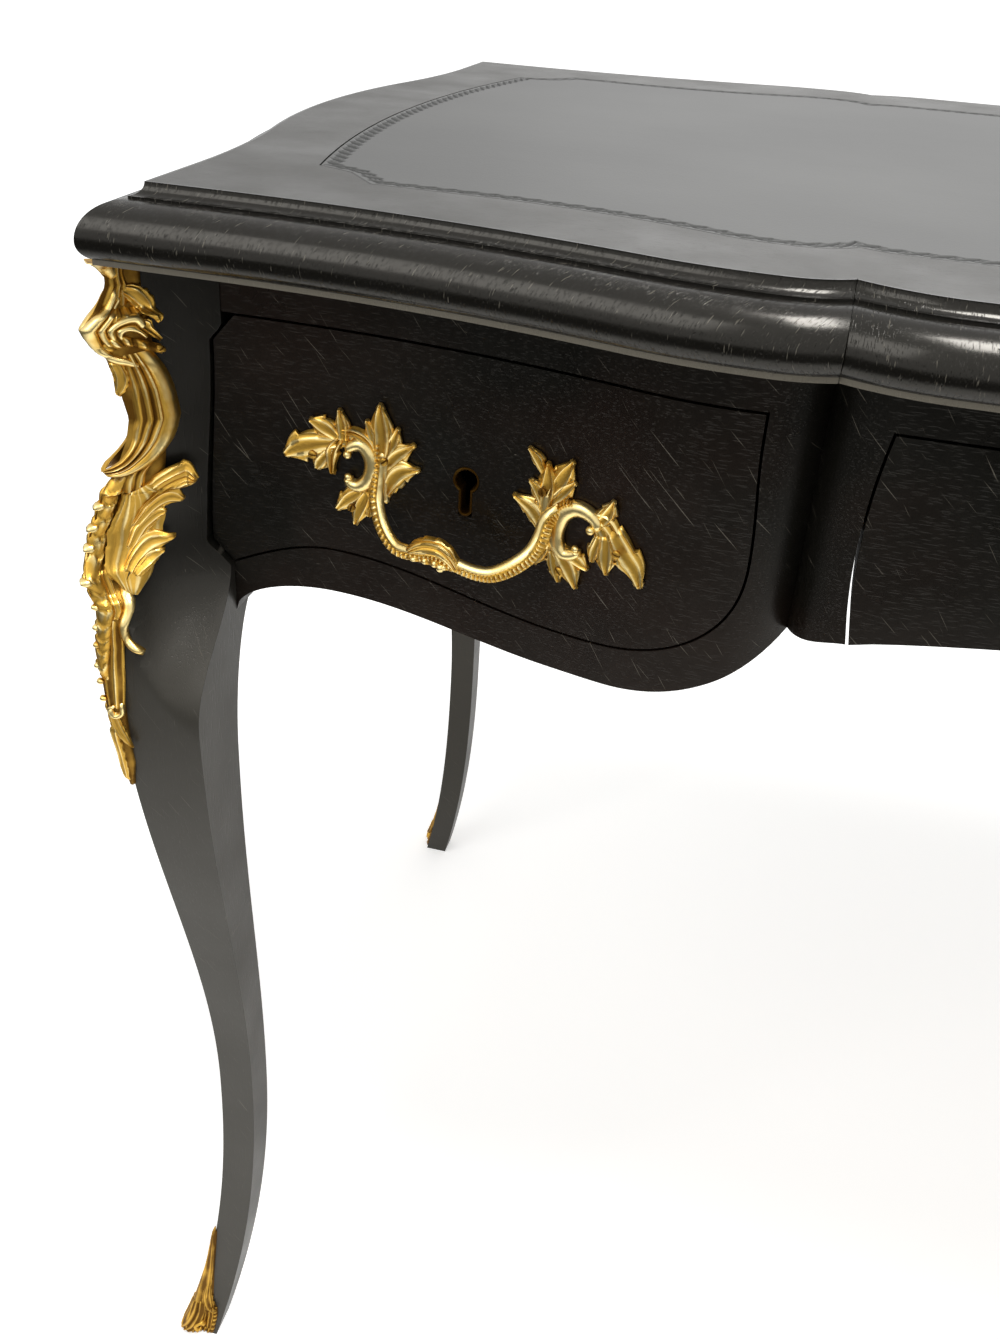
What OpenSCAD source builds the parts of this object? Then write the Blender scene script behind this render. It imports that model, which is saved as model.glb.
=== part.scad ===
// Serpentine writing table with three drawers, square-section cabriole legs,
// a leather-lined top and cast brass mounts.
// The origin is on the floor under the middle of the top. X is the width, Y is the depth
// with the front at -Y, and Z is up. All sizes are in millimetres.

/* [Top] */
// Height of the writing surface above the floor
table_height = 770; // [755:1:785]
// Half width of the flat top at its corners
corner_x = 560; // [552:1:568]
// Half depth of the flat top at its corners
corner_y = 263; // [258:1:268]
// How far each end of the top swells outward at mid depth
side_swell = 21; // [16:1:24]
// How far the front of the top swells forward at the side drawers
front_swell = 29; // [25:1:32]
// Distance of the two inward cusps from the middle of the front
cusp_x = 273; // [268:1:278]
// How far the edge moulding stands out beyond the flat top
moulding_out = 23; // [21:1:25]
// Thickness of the top with its edge moulding
top_thickness = 32; // [31:1:34]
// Thickness of the leather writing surface
leather_thickness = 1.6; // [1.2:0.1:2.4]

/* [Apron and drawers] */
// How far the apron is set back from the edge of the flat top
apron_setback = 22; // [20:1:25]
// Width of the gap round each drawer front
drawer_gap = 1.2; // [0.8:0.1:1.6]
// Room between the drawer boxes and the back apron
box_room = 29; // [20:1:49]
// Thickness of the drawer sides
box_side = 10; // [8:0.5:11]
// How far a lock bolt rises
bolt_travel = 8; // [6:0.5:9]

/* [Legs] */
// How far the knee stands out from the leg's centre line
knee_out = 36; // [33:1:38]
// How far the toe stands out from the leg's centre line
toe_out = 35; // [32:1:38]
// How far the ankle stands out from the leg's centre line
ankle_out = 10; // [9:0.5:12]
// Width of the leg at the ankle
ankle_width = 21.5; // [20:0.5:24]

/* [Brass] */
// Thickness of the corner mounts
mount_thickness = 5.5; // [4.5:0.5:6.5]
// Thickness of the foot mounts
sabot_thickness = 4; // [3:0.5:5]
// Thickness of the plates of the pulls
plate_thickness = 5; // [4:0.5:6]
// Radius of the bow of the pulls
bow_radius = 3.8; // [3.2:0.2:4.4]
// How far the bow of the pulls stands off the drawer front
bow_out = 20; // [18:1:22]

/* [Hidden] */
$fn = 64;
steps = 14;
fine = 60;
far = 400;
under = table_height - top_thickness;

// Plan of the flat top
top_flat_x = corner_x - 30;
peak_x = cusp_x + 27;
peak_flat = 2;
peak_y = corner_y + front_swell;
cusp_y = peak_y - 8.5;
mid_x = cusp_x - 41;
mid_y = cusp_y + 11;
side_flat_y = corner_y - 48;

// Plan of the apron
apron_x = corner_x + 7;
apron_y = corner_y - apron_setback;
apron_swell = side_swell - 7;
apron_flat_x = corner_x - 35;
apron_flat_y = corner_y - 63;
apron_peak_x = cusp_x + 30;
apron_peak_y = peak_y - apron_setback + 3;
crease_x = cusp_x - 0.5;
crease_y = apron_peak_y - 15;
centre_x = crease_x - 26.5;
centre_y = apron_peak_y + 3;

// Plan of the leather
leather_x = corner_x - 47;
leather_side_y = corner_y - 72;
leather_swell = side_swell - 1;
notch_x = corner_x - 65;
notch_y = corner_y - 64;
leather_start_x = corner_x - 81;
leather_y = corner_y - 44;
leather_flat_x = corner_x - 129;
leather_peak_x = cusp_x + 27;
leather_peak_y = leather_y + front_swell - 5;
leather_cusp_y = leather_peak_y - 11;
leather_mid_x = cusp_x - 23;
leather_mid_y = leather_cusp_y + 5;
leather_slack = 0.3;

// Legs
leg_x = corner_x - 12;
leg_y = corner_y - 8;
post_in = -7;
post_back = -45;
knee_z = under - 193;
post_z = under - 88;
ankle_z = 0.318 * under;
shin_z = under - 268;
ear_z = under - 258;
ear_top_z = under - 166;
post_out_x = 22;
post_out_y = 8;
rail_end = leg_x + post_in;
back_face = leg_y + post_back;
wrap_r = 45;
wrap_x = -12.8;
wrap_y = wrap_r - 13.6 - (corner_y - apron_y - 22);
wrap_z = under - 118;
wrap_run = 148;
wrap_angle = 36.2;
wrap_step = 0.2;
wrap_lap = 0.5;
side_wrap_r = 60;
side_wrap_run = 458;

// Heights of the front
drawer_top = under - 26;
rail_bottom = drawer_top + drawer_gap;
hump_z = under - 132;
tip_z = under - 148;
belly_z = under - 145;
low_tip_z = under - 176;
low_hump_z = under - 155;
low_belly_z = under - 165;
crease_z = under - 124;
stile_low_z = under - 118;
centre_low_z = under - 118;
centre_arch_z = under - 91;

// Widths of the front
drawer_left = -(corner_x - 8.5);
drawer_tip_x = -(corner_x - 19);
hump_x = -(corner_x - 73);
belly_x = -(cusp_x + 99);
drawer_right = -(cusp_x + 20.5);
stile_joint_x = -(cusp_x + 32);
centre_edge_x = -(crease_x - 21.5);
front_back_y = -(apron_y - 22);
centre_back_y = -(centre_y - 24);
rail_back_y = -(apron_y - 46);
box_y = front_back_y;
partition_front_y = front_back_y + 2;
partition_x = cusp_x;
partition_t = 17;

// Drawer boxes
box_left = -(rail_end - 6);
box_right = drawer_right - 20;
box_low_z = hump_z + 3;
box_top_z = drawer_top - 12;
box_length = back_face - box_room - front_back_y;
centre_box_x = -centre_edge_x - 7.5;
centre_box_low_z = centre_arch_z + 8;
bottom_t = 5;
bottom_up = 6;
back_t = 10;
runner_t = 8;
runner_slack = 0.4;

// Locks
side_lock_x = -(cusp_x + 149);
lock_w = 50;
lock_h = 46;
lock_t = 12;
bolt_w = 24;
bolt_t = 5;
bolt_h = 24;
bolt_slack = 0.5;
lock_top_z = drawer_top - 1;
key_z = under - 83;
centre_key_z = under - 52;
key_r = 5;
key_drop = 16;
key_slot = 4;
bush_wall = 1.3;
bush_length = 9;
bush_proud = 0.8;

// Pulls
pull_left_x = side_lock_x - 50;
pull_right_x = side_lock_x + 53;
pull_z = under - 83;
bow_end_z = under - 104;
bow_drop = 12;
bow_half = 37;
screw_head_r = 2.5;
screw_r = 1.4;
screw_in = 9;
screw_proud = 0.7;
screw_slack = 0.1;

// Mounts
mount_low_z = under - 265;
mount_top_z = under - 0.5;
sabot_top_z = 97;
joint = 0.1;

// Blend from 0 to 1 with level ends
function ease(t) = (1 - cos(180 * t)) / 2;
function mix(a, b, t) = a + (b - a) * t;
function unit(v) = v / norm(v);
function turned(v) = [-v[1], v[0]];
function flip_x(p) = [for (i = [len(p) - 1 : -1 : 0]) [-p[i][0], p[i][1]]];
function flip_y(p) = [for (i = [len(p) - 1 : -1 : 0]) [p[i][0], -p[i][1]]];

// Moves each side of a closed counter-clockwise outline inward by d
function inset(p, d) = [
  for (i = [0 : len(p) - 1])
    let (
      a = unit(p[i] - p[(i + len(p) - 1) % len(p)]),
      b = unit(p[(i + 1) % len(p)] - p[i]),
      n = unit(turned(a) + turned(b))
    )
    p[i] + n * d / (n * turned(a))
];

// Radius of an arc that leaves a level line and reaches across dx, down dy
function arc_r(dx, dy) = (dx * dx + dy * dy) / (2 * dy);
// Turning angle and total radius of a two-arc curve with level ends
function s_angle(dx, dy) = 2 * atan(dy / dx);
function s_radius(dx, dy) = dx / sin(s_angle(dx, dy));

// One quarter of a serpentine outline, from the left end's middle to the front's middle.
// cx, cy: corner; sw, ys: swell of the end and where it starts; xs: where the front
// swell starts; xp, yp: front peak; xq, yq: cusp; xm, ym: start of the straight middle.
function end_part(cx, sw, ys) = let (th = s_angle(ys, sw), r = s_radius(ys, sw) / 2) concat(
  [for (i = [1 : steps]) [-cx - sw + r * (1 - cos(th * i / steps)), -r * sin(th * i / steps)]],
  [for (i = [1 : steps])
    [-cx - r * (1 - cos(th - th * i / steps)), -ys + r * sin(th - th * i / steps)]]
);
function front_part(cy, xs, xp, yp, xq, yq, xm, ym) =
  let (
    xa = xp + peak_flat,
    xb = xp - peak_flat,
    th = s_angle(xs - xa, yp - cy),
    ra = 0.8 * s_radius(xs - xa, yp - cy),
    rb = 0.2 * s_radius(xs - xa, yp - cy),
    r3 = arc_r(xb - xq, yp - yq),
    t3 = asin((xb - xq) / r3),
    r4 = arc_r(xq - xm, ym - yq),
    t4 = asin((xq - xm) / r4)
  )
  concat(
    [for (i = [0 : steps]) [-xs + ra * sin(th * i / steps), -cy - ra * (1 - cos(th * i / steps))]],
    [for (i = [steps - 1 : -1 : 0])
      [-xa - rb * sin(th * i / steps), -yp + rb * (1 - cos(th * i / steps))]],
    [for (i = [0 : steps]) [-xb + r3 * sin(t3 * i / steps), -yp + r3 * (1 - cos(t3 * i / steps))]],
    [for (i = [steps - 1 : -1 : 0])
      [-xm - r4 * sin(t4 * i / steps), -ym + r4 * (1 - cos(t4 * i / steps))]]
  );
function closed(q) = let (h = concat(q, flip_x(q))) concat(h, flip_y(h));

top_outline = closed(concat(
  end_part(corner_x, side_swell, side_flat_y),
  [[-corner_x, -corner_y]],
  front_part(corner_y, top_flat_x, peak_x, peak_y, cusp_x, cusp_y, mid_x, mid_y)
));
apron_outline = closed(concat(
  end_part(apron_x, apron_swell, apron_flat_y),
  [[-apron_x, -apron_y]],
  front_part(apron_y, apron_flat_x, apron_peak_x, apron_peak_y, crease_x, crease_y,
    centre_x, centre_y)
));
leather_r = arc_r(leather_side_y, leather_swell);
leather_t = asin(leather_side_y / leather_r);
leather_outline = closed(concat(
  [for (i = [1 : steps])
    [-leather_x - leather_swell + leather_r * (1 - cos(leather_t * i / steps)),
      -leather_r * sin(leather_t * i / steps)]],
  [[-notch_x, -notch_y], [-leather_start_x, -leather_y]],
  front_part(leather_y, leather_flat_x, leather_peak_x, leather_peak_y,
    cusp_x, leather_cusp_y, leather_mid_x, leather_mid_y)
));

// Depth of the apron's face at a place x on the left front
function face_y(x) =
  let (
    xa = apron_peak_x + peak_flat,
    dx = apron_flat_x - xa,
    dy = apron_peak_y - apron_y,
    th = s_angle(dx, dy),
    ra = 0.8 * s_radius(dx, dy),
    rb = 0.2 * s_radius(dx, dy),
    xi = -apron_flat_x + ra * sin(th)
  )
  x < -apron_flat_x ? -apron_y
    : x < xi ? -apron_y - ra + sqrt(ra * ra - pow(x + apron_flat_x, 2))
    : x < -xa ? -apron_peak_y + rb - sqrt(rb * rb - pow(x + xa, 2))
    : -apron_peak_y;

// Bottom edge of a side drawer, and the lower edge of the rail under it
function drawer_bottom_edge() = concat(
  [for (i = [0 : steps]) let (t = i / steps)
    [mix(drawer_tip_x, hump_x, t), tip_z + (hump_z - tip_z) * sin(90 * t)]],
  [for (i = [1 : steps]) let (t = i / steps)
    [mix(hump_x, belly_x, t), mix(hump_z, belly_z, ease(t))]],
  [for (i = [1 : steps]) let (t = 90 * i / steps)
    [belly_x + (drawer_right - belly_x) * pow(sin(t), 0.83),
      belly_z + 55 * (1 - pow(cos(t), 0.83))]]
);
side_drawer_outline = concat(
  drawer_bottom_edge(),
  [for (i = [1 : 5])
    [mix(drawer_right, drawer_right - 3, ease(i / 5)), mix(belly_z + 55, drawer_top - 8, i / 5)]],
  [[drawer_right - 2.5, drawer_top], [drawer_tip_x + 6, drawer_top]],
  [for (i = [0 : 8]) [mix(drawer_left + 6, drawer_left, ease(i / 8)),
    mix(drawer_top - 12, tip_z + 10, i / 8)]]
);
function lower_edge() = concat(
  [for (i = [0 : steps]) let (t = i / steps)
    [mix(-rail_end, hump_x, t), low_tip_z + (low_hump_z - low_tip_z) * sqrt(1 - pow(1 - t, 2))]],
  [for (i = [1 : steps]) let (t = i / steps)
    [mix(hump_x, belly_x - 3, t), mix(low_hump_z, low_belly_z, ease(t))]],
  [for (i = [1 : steps]) let (t = i / steps)
    [mix(belly_x - 3, -crease_x, t), low_belly_z + (crease_z - low_belly_z) * pow(t, 3.1)]],
  [for (i = [1 : 6]) let (t = i / 6)
    [mix(-crease_x, centre_edge_x + 4, t), mix(crease_z, stile_low_z, ease(t))]]
);
centre_side_edge = [for (i = [0 : 10]) let (t = i / 10)
  [centre_edge_x + 4 * pow(2 * t - 1, 2), mix(drawer_top, centre_low_z, t)]];
centre_half = concat(
  centre_side_edge,
  [for (i = [1 : steps]) let (t = i / steps)
    [mix(centre_edge_x + 4, -centre_edge_x * -0.5, t),
      centre_low_z + (centre_arch_z - centre_low_z) * sin(90 * pow(t, 0.8))]]
);
centre_drawer_outline = concat(centre_half, flip_x(centre_half));

// Places on the leg's outer and inner lines at height z
function leg_low(z, a, b, k) = a + (b - a) * pow(max(0, (ankle_z - z) / ankle_z), k);
function out_line(z, post) =
  z < ankle_z ? leg_low(z, ankle_out, toe_out, 2.3)
    : z < knee_z ? mix(ankle_out, knee_out, ease((z - ankle_z) / (knee_z - ankle_z)))
    : z < post_z ? mix(knee_out, post, ease((z - knee_z) / (post_z - knee_z)))
    : post;
function in_line(z) =
  z < ankle_z ? leg_low(z, ankle_out - ankle_width, toe_out - 20, 2.2)
    : z < shin_z ? mix(ankle_out - ankle_width, post_in, ease((z - ankle_z) / (shin_z - ankle_z)))
    : post_in;
function ear_line(z) =
  z < ear_z ? in_line(z)
    : z < ear_top_z
      ? post_in + (post_back - post_in) * (1 - sqrt(1 - pow((z - ear_z) / (ear_top_z - ear_z), 2)))
    : post_back;

// Heights at which the leg's lines are taken
function heights(a, b, n) = [for (i = [0 : n]) mix(a, b, i / n)];

// Stands a drawn outline (across, height) on the XZ plane, from depth a to depth b
module stand_x(p, a, b) {
  stand(a, b) polygon(p);
}
module stand(a, b) {
  translate([0, b, 0])
    rotate([90, 0, 0])
      linear_extrude(height = b - a)
        children();
}
// Stands a drawn outline (depth, height) on the YZ plane, from x = a to x = b
module stand_y(p, a, b) {
  translate([a, 0, 0])
    rotate([90, 0, 90])
      linear_extrude(height = b - a)
        polygon(p);
}
module box(x0, x1, y0, y1, z0, z1) {
  translate([x0, y0, z0])
    cube([x1 - x0, y1 - y0, z1 - z0]);
}

// Places a corner piece drawn for the back right corner
module corner(right, back) {
  if (right && back) children();
  if (!right && back) mirror([1, 0, 0]) children();
  if (right && !back) mirror([0, 1, 0]) children();
  if (!right && !back) rotate([0, 0, 180]) children();
}

// Band between two lines given for the same heights
function band(zs, inner, outer) = concat(
  [for (i = [0 : len(zs) - 1]) [outer[i], zs[i]]],
  [for (i = [len(zs) - 1 : -1 : 0]) [inner[i], zs[i]]]
);

// The hollow swept down the post so that it meets the apron, g less deep
module front_wrap(g) {
  translate([leg_x + wrap_x, leg_y + wrap_y, 0]) {
    translate([0, 0, wrap_z - wrap_lap])
      cylinder(r = wrap_r - g, h = far);
    rotate([0, 0, wrap_angle + 90])
      translate([wrap_run - wrap_r, 0, wrap_z])
        rotate([0, 0, 180])
          rotate([90, 0, 0])
            rotate_extrude(angle = -80)
              translate([wrap_run - wrap_r, 0])
                circle(r = wrap_r + wrap_step - g);
  }
}
module side_wrap(g) {
  translate([leg_x + 20 + side_wrap_r, leg_y - 40, 0]) {
    translate([0, 0, wrap_z - wrap_lap])
      cylinder(r = side_wrap_r - g, h = far);
    translate([side_wrap_run - side_wrap_r, 0, wrap_z])
      rotate([0, 0, 180])
        rotate([90, 0, 0])
          rotate_extrude(angle = -40)
            translate([side_wrap_run - side_wrap_r, 0])
              circle(r = side_wrap_r + wrap_step - g);
  }
}

// Leg with its post, sawn to one profile from the front and to another from the side
module leg_core() {
  zs = heights(0, under, fine);
  difference() {
    intersection() {
      translate([leg_x, 0, 0])
        stand_x(band(zs, [for (z = zs) in_line(z)], [for (z = zs) out_line(z, post_out_x)]),
          leg_y - 100, leg_y + 100);
      translate([0, leg_y, 0])
        stand_y(band(zs, [for (z = zs) ear_line(z)], [for (z = zs) out_line(z, post_out_y)]),
          leg_x - 100, leg_x + 100);
    }
    front_wrap(0);
    side_wrap(0);
  }
}

// Cast sheet that wraps the leg's outer corner between heights a and b, w wide at each height
module wrap_sheet(a, b, g, w) {
  zs = heights(a, b, fine);
  difference() {
    intersection() {
      translate([leg_x, 0, 0])
        stand_x(band(zs, [for (i = [0 : fine]) out_line(zs[i], post_out_x) - w[i]],
          [for (z = zs) out_line(z, post_out_x) + g]), leg_y - 100, leg_y + 100);
      translate([0, leg_y, 0])
        stand_y(band(zs, [for (i = [0 : fine]) out_line(zs[i], post_out_y) - w[i]],
          [for (z = zs) out_line(z, post_out_y) + g]), leg_x - 100, leg_x + 100);
    }
    front_wrap(g);
    side_wrap(g);
    leg_core();
  }
}

module screw(length, proud, g) {
  translate([0, 0, -length - g])
    cylinder(r = screw_r + g, h = length + proud + g);
  cylinder(r = screw_head_r + g, h = proud);
}

// Screws of a corner mount and a foot mount at the back right corner, grown by g
module corner_screws(g) {
  for (z = [under - 38, under - 126])
    translate([leg_x + wrap_x, leg_y + wrap_y, z])
      rotate([0, 0, wrap_angle - 90])
        rotate([0, 90, 0])
          translate([0, 0, wrap_r - mount_thickness])
            rotate([180, 0, 0])
              screw(screw_in + mount_thickness, screw_proud, g);
  translate([leg_x + 17, leg_y + out_line(32, post_out_y) + sabot_thickness, 32])
    rotate([-90, 0, 0])
      screw(screw_in + sabot_thickness, screw_proud, g);
}

// Leaf tip of height a that fades over h above and below the height c
function tip(z, c, h, a) = a * max(0, 1 - abs(z - c) / h);
function mount_width(z) =
  let (d = under - z)
  7 + 3 * (d < 110 ? 1 : 0)
    + tip(d, 2, 8, 3) + tip(d, 24, 16, 10) + tip(d, 52, 26, 5) + tip(d, 80, 22, 7)
    + tip(d, 98, 13, 15) + tip(d, 126, 13, 11) + tip(d, 146, 10, 3) + tip(d, 176, 12, 3)
    + tip(d, 218, 10, 2) - 4 * max(0, (d - 225) / 40);
function sabot_width(z) =
  3 + 15 * pow(max(0, 1 - z / sabot_top_z), 0.7) + tip(z, 72, 8, 2.5) + tip(z, 46, 9, 2);

module mount() {
  zs = heights(mount_low_z, mount_top_z, fine);
  w = [for (z = zs) mount_width(z)];
  difference() {
    wrap_sheet(mount_low_z, mount_top_z, mount_thickness, w);
    corner_screws(screw_slack);
  }
}
module sabot() {
  zs = heights(0, sabot_top_z, fine);
  w = [for (z = zs) sabot_width(z)];
  difference() {
    union() {
      wrap_sheet(0, sabot_top_z, sabot_thickness, w);
      difference() {
        translate([leg_x + toe_out - 1, leg_y + toe_out - 1, 7.5])
          rotate([90, 0, 45])
            cylinder(r = 7, h = 22, center = true);
        leg_core();
      }
    }
    corner_screws(screw_slack);
  }
}

// Opening in the front round the drawer on side s (-1 left, 1 right)
module side_opening(s, y1) {
  p = inset(side_drawer_outline, -drawer_gap);
  if (s < 0) stand_x(p, -far, y1);
  if (s > 0) mirror([1, 0, 0]) stand_x(p, -far, y1);
}
module centre_opening() {
  stand_x(inset(centre_drawer_outline, -drawer_gap), -far, 0);
}
// Everything inside the apron's plan, between two heights
module apron_solid(z0, z1, out) {
  translate([0, 0, z0])
    linear_extrude(height = z1 - z0)
      polygon(inset(apron_outline, -out));
}

module leg(right, back) {
  color([0.07, 0.065, 0.065])
    difference() {
      corner(right, back) difference() {
        leg_core();
        corner_screws(screw_slack);
      }
      if (!back) side_opening(right ? 1 : -1, front_back_y + drawer_gap);
    }
}

// Section of the edge moulding: across from the flat top's edge, and up
step_in = 7;
step_down = 6.5;
foot_h = 1.5;
foot_in = 0.3;
cove_r = 5.4;
cove_in = 6.4;
arc_steps = 8;
big_r = moulding_out - step_in;
small_r = top_thickness - step_down - foot_h - big_r;
nose_z = table_height - step_down - big_r;
cove_low = acos((cove_in - 6.2) / cove_r);
function arc_points(x, z, r, a0, a1) = [for (i = [0 : arc_steps])
  let (a = mix(a0, a1, i / arc_steps)) [x + r * cos(a), z + r * sin(a)]];
moulding_section = concat(
  [[0, under], [moulding_out - small_r - foot_in, under]],
  [[moulding_out - small_r - foot_in, under + foot_h]],
  arc_points(moulding_out - small_r, nose_z, small_r, 270, 360),
  [for (i = [1 : arc_steps]) let (a = 90 * i / arc_steps)
    [step_in + big_r * cos(a), nose_z + big_r * sin(a)]],
  [[step_in - 0.8, nose_z + big_r]],
  arc_points(cove_in, table_height, cove_r, 180 + cove_low, 180),
  [[0, table_height]]
);
module section() {
  polygon(moulding_section);
}
// Moulding bent round a centre: out = 1 when it stands outside the arc, -1 when inside
module bend(cx, cy, r, a0, a1, out) {
  translate([cx, cy, 0])
    rotate([0, 0, a0])
      rotate_extrude(angle = a1 - a0, $fn = 720)
        translate([r, 0])
          if (out > 0) section(); else mirror([1, 0, 0]) section();
}
// Block inside the joint of two lengths, which makes them one piece
module dowel(x, y) {
  translate([x - 3, y - 3, nose_z - 3])
    cube(6);
}
// Cuts the moulding to a plan region through the whole thickness of the top
module clip(p) {
  translate([0, 0, under - 1])
    linear_extrude(height = top_thickness + 2)
      polygon(p);
}
module end_half(th, r) {
  union() {
    union() {
      bend(-corner_x - side_swell + r, 0, r, 180, 180 + th, 1);
      dowel(-corner_x - side_swell / 2 - 9, -side_flat_y / 2);
      bend(-corner_x - r, -side_flat_y, r, 0, th, -1);
    }
    dowel(-corner_x - 9, -side_flat_y);
    translate([-corner_x, -side_flat_y, 0])
      rotate([90, 0, 0])
        linear_extrude(height = 80)
          mirror([1, 0, 0]) section();
  }
}
module end_moulding() {
  th = s_angle(side_flat_y, side_swell);
  r = s_radius(side_flat_y, side_swell) / 2;
  intersection() {
    union() {
      end_half(th, r);
      dowel(-corner_x - side_swell - 9, 0);
      mirror([0, 1, 0]) end_half(th, r);
    }
    clip([
      [-corner_x, -corner_y + joint], [-corner_x + far / 4, -corner_y + far / 4 + joint],
      [-corner_x + far / 4, corner_y - far / 4 - joint], [-corner_x, corner_y - joint],
      [-corner_x - far / 4, corner_y + far / 4 - joint],
      [-corner_x - far / 4, -corner_y - far / 4 + joint]
    ]);
  }
}
module front_side_moulding() {
  xa = peak_x + peak_flat;
  xb = peak_x - peak_flat;
  dx = top_flat_x - xa;
  run = 2 * peak_flat;
  th = s_angle(dx + run, front_swell);
  r = (dx - run * cos(th)) / sin(th);
  ra = 0.8 * r;
  rb = 0.2 * r;
  r3 = arc_r(xb - cusp_x, peak_y - cusp_y);
  t3 = asin((xb - cusp_x) / r3);
  turn = [-top_flat_x + ra * sin(th), -corner_y - ra * (1 - cos(th))];
  link = run * [cos(th), -sin(th)];
  intersection() {
    union() {
      union() {
        translate([-top_flat_x, -corner_y, 0])
          rotate([90, 0, -90])
            linear_extrude(height = 80)
              section();
        dowel(-top_flat_x, -corner_y - 9);
        bend(-top_flat_x, -corner_y - ra, ra, 90 - th, 90, -1);
      }
      dowel(turn[0], turn[1] - 9);
      union() {
        translate(concat(turn + link, 0))
          rotate([90, 0, -90 - th])
            linear_extrude(height = run)
              section();
        dowel(turn[0] + link[0], turn[1] + link[1] - 9);
        union() {
          union() {
            translate([-xb, -peak_y, 0])
              rotate([90, 0, -90])
                linear_extrude(height = run)
                  section();
            dowel(-xa, -peak_y - 9);
            bend(-xa, -peak_y + rb, rb, 270 - th, 270, 1);
          }
          dowel(-xb, -peak_y - 9);
          bend(-xb, -peak_y + r3, r3, 270, 270 + t3 + 10, 1);
        }
      }
    }
    clip([
      [-corner_x + joint, -corner_y], [-corner_x - far / 4 + joint, -corner_y - far / 4],
      [-cusp_x - joint, -corner_y - far / 4], [-cusp_x - joint, -corner_y + 20],
      [-corner_x + 20 + joint, -corner_y + 20]
    ]);
  }
}
module front_middle_moulding() {
  r4 = arc_r(cusp_x - mid_x, mid_y - cusp_y);
  t4 = asin((cusp_x - mid_x) / r4);
  intersection() {
    union() {
      for (s = [0, 1]) mirror([s, 0, 0]) {
        bend(-mid_x, -mid_y + r4, r4, 270 - t4 - 10, 270, 1);
        dowel(-mid_x, -mid_y - 9);
      }
      translate([mid_x, -mid_y, 0])
        rotate([90, 0, -90])
          linear_extrude(height = 2 * mid_x)
            section();
    }
    clip([
      [-cusp_x + joint, -corner_y + 20], [-cusp_x + joint, -corner_y - far / 4],
      [cusp_x - joint, -corner_y - far / 4], [cusp_x - joint, -corner_y + 20]
    ]);
  }
}

module top_panel() {
  color([0.09, 0.085, 0.08])
    difference() {
      translate([0, 0, under])
        linear_extrude(height = top_thickness)
          polygon(inset(top_outline, 0.15));
      translate([0, 0, table_height - leather_thickness])
        linear_extrude(height = 10)
          polygon(inset(leather_outline, -leather_slack));
    }
}
module leather_surface() {
  color([0.13, 0.13, 0.125])
    translate([0, 0, table_height - leather_thickness])
      linear_extrude(height = leather_thickness)
        polygon(leather_outline);
}
module wood() {
  color([0.07, 0.065, 0.065]) children();
}
module brass() {
  color([0.8, 0.62, 0.25]) children();
}
module steel() {
  color([0.45, 0.44, 0.42]) children();
}

module side_apron() {
  n = 20;
  low = [for (i = [0 : n]) let (t = abs(2 * i / n - 1))
    [mix(-back_face, back_face, i / n),
      t > 0.6 ? mix(under - 150, ear_top_z, ease((t - 0.6) / 0.4))
        : mix(under - 160, under - 150, ease(t / 0.6))]];
  intersection() {
    stand_y(concat(low, [[back_face, under], [-back_face, under]]), -far * 2, -rail_end);
    apron_solid(0, under, 0);
  }
}
module back_apron() {
  half = lower_edge();
  middle = [for (i = [1 : steps]) let (t = i / steps)
    [mix(centre_edge_x + 4, -centre_edge_x * -0.5, t),
      stile_low_z + (centre_arch_z - centre_low_z) * sin(90 * pow(t, 0.8))]];
  low = concat(half, middle);
  mirror([0, 1, 0]) difference() {
    intersection() {
      stand_x(concat(low, flip_x(low), [[rail_end, under], [-rail_end, under]]), -far, front_back_y + 2);
      apron_solid(0, under, 0);
    }
    for (s = [0, 1]) mirror([s, 0, 0]) difference() {
      stand_x(inset(side_drawer_outline, -drawer_gap), -far, 0);
      stand_x(side_drawer_outline, -far, 0);
      apron_solid(0, under, -2.5);
    }
    difference() {
      stand_x(inset(centre_drawer_outline, -drawer_gap), -far, 0);
      stand_x(centre_drawer_outline, -far, 0);
      apron_solid(0, under, -2.5);
    }
  }
}
module front_upper_rail() {
  wood() difference() {
    intersection() {
      box(-rail_end, rail_end, -far, rail_back_y, rail_bottom, under);
      apron_solid(0, under, 0);
    }
    for (x = [-side_lock_x, 0, side_lock_x])
      bolt_space(x, x == 0 ? centre_back_y : front_back_y, rail_bottom - 1, rail_bottom + bolt_travel + 3);
  }
}
module lower_rail() {
  wood() difference() {
    intersection() {
      stand_x(concat(lower_edge(), [
        [centre_edge_x, rail_bottom], [drawer_right - 10, rail_bottom],
        [drawer_right - 10, hump_z + 20], [-rail_end, hump_z + 20]
      ]), -far, partition_front_y);
      apron_solid(0, under, 0);
    }
    side_opening(-1, 0);
    centre_opening();
  }
}
module partition() {
  wood() difference() {
    box(-partition_x - partition_t / 2, -partition_x + partition_t / 2,
      partition_front_y, -partition_front_y, hump_z - 6, under);
    box(-far, 0, -far, rail_back_y, rail_bottom, table_height);
  }
}
module drawer_runners() {
  low = box_low_z - runner_slack - runner_t;
  centre_low = centre_box_low_z - runner_slack - runner_t;
  wood() for (s = [0, 1]) mirror([s, 0, 0]) {
    box(-rail_end, box_left + 14, partition_front_y, -partition_front_y, low, low + runner_t);
    box(box_right - 14, -partition_x - partition_t / 2, partition_front_y, -partition_front_y,
      low, low + runner_t);
    box(-partition_x + partition_t / 2, -centre_box_x + 14, partition_front_y, -partition_front_y,
      centre_low, centre_low + runner_t);
  }
}
module mount_screws() {
  brass() for (r = [false, true]) for (b = [false, true])
    corner(r, b) corner_screws(0);
}

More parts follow.
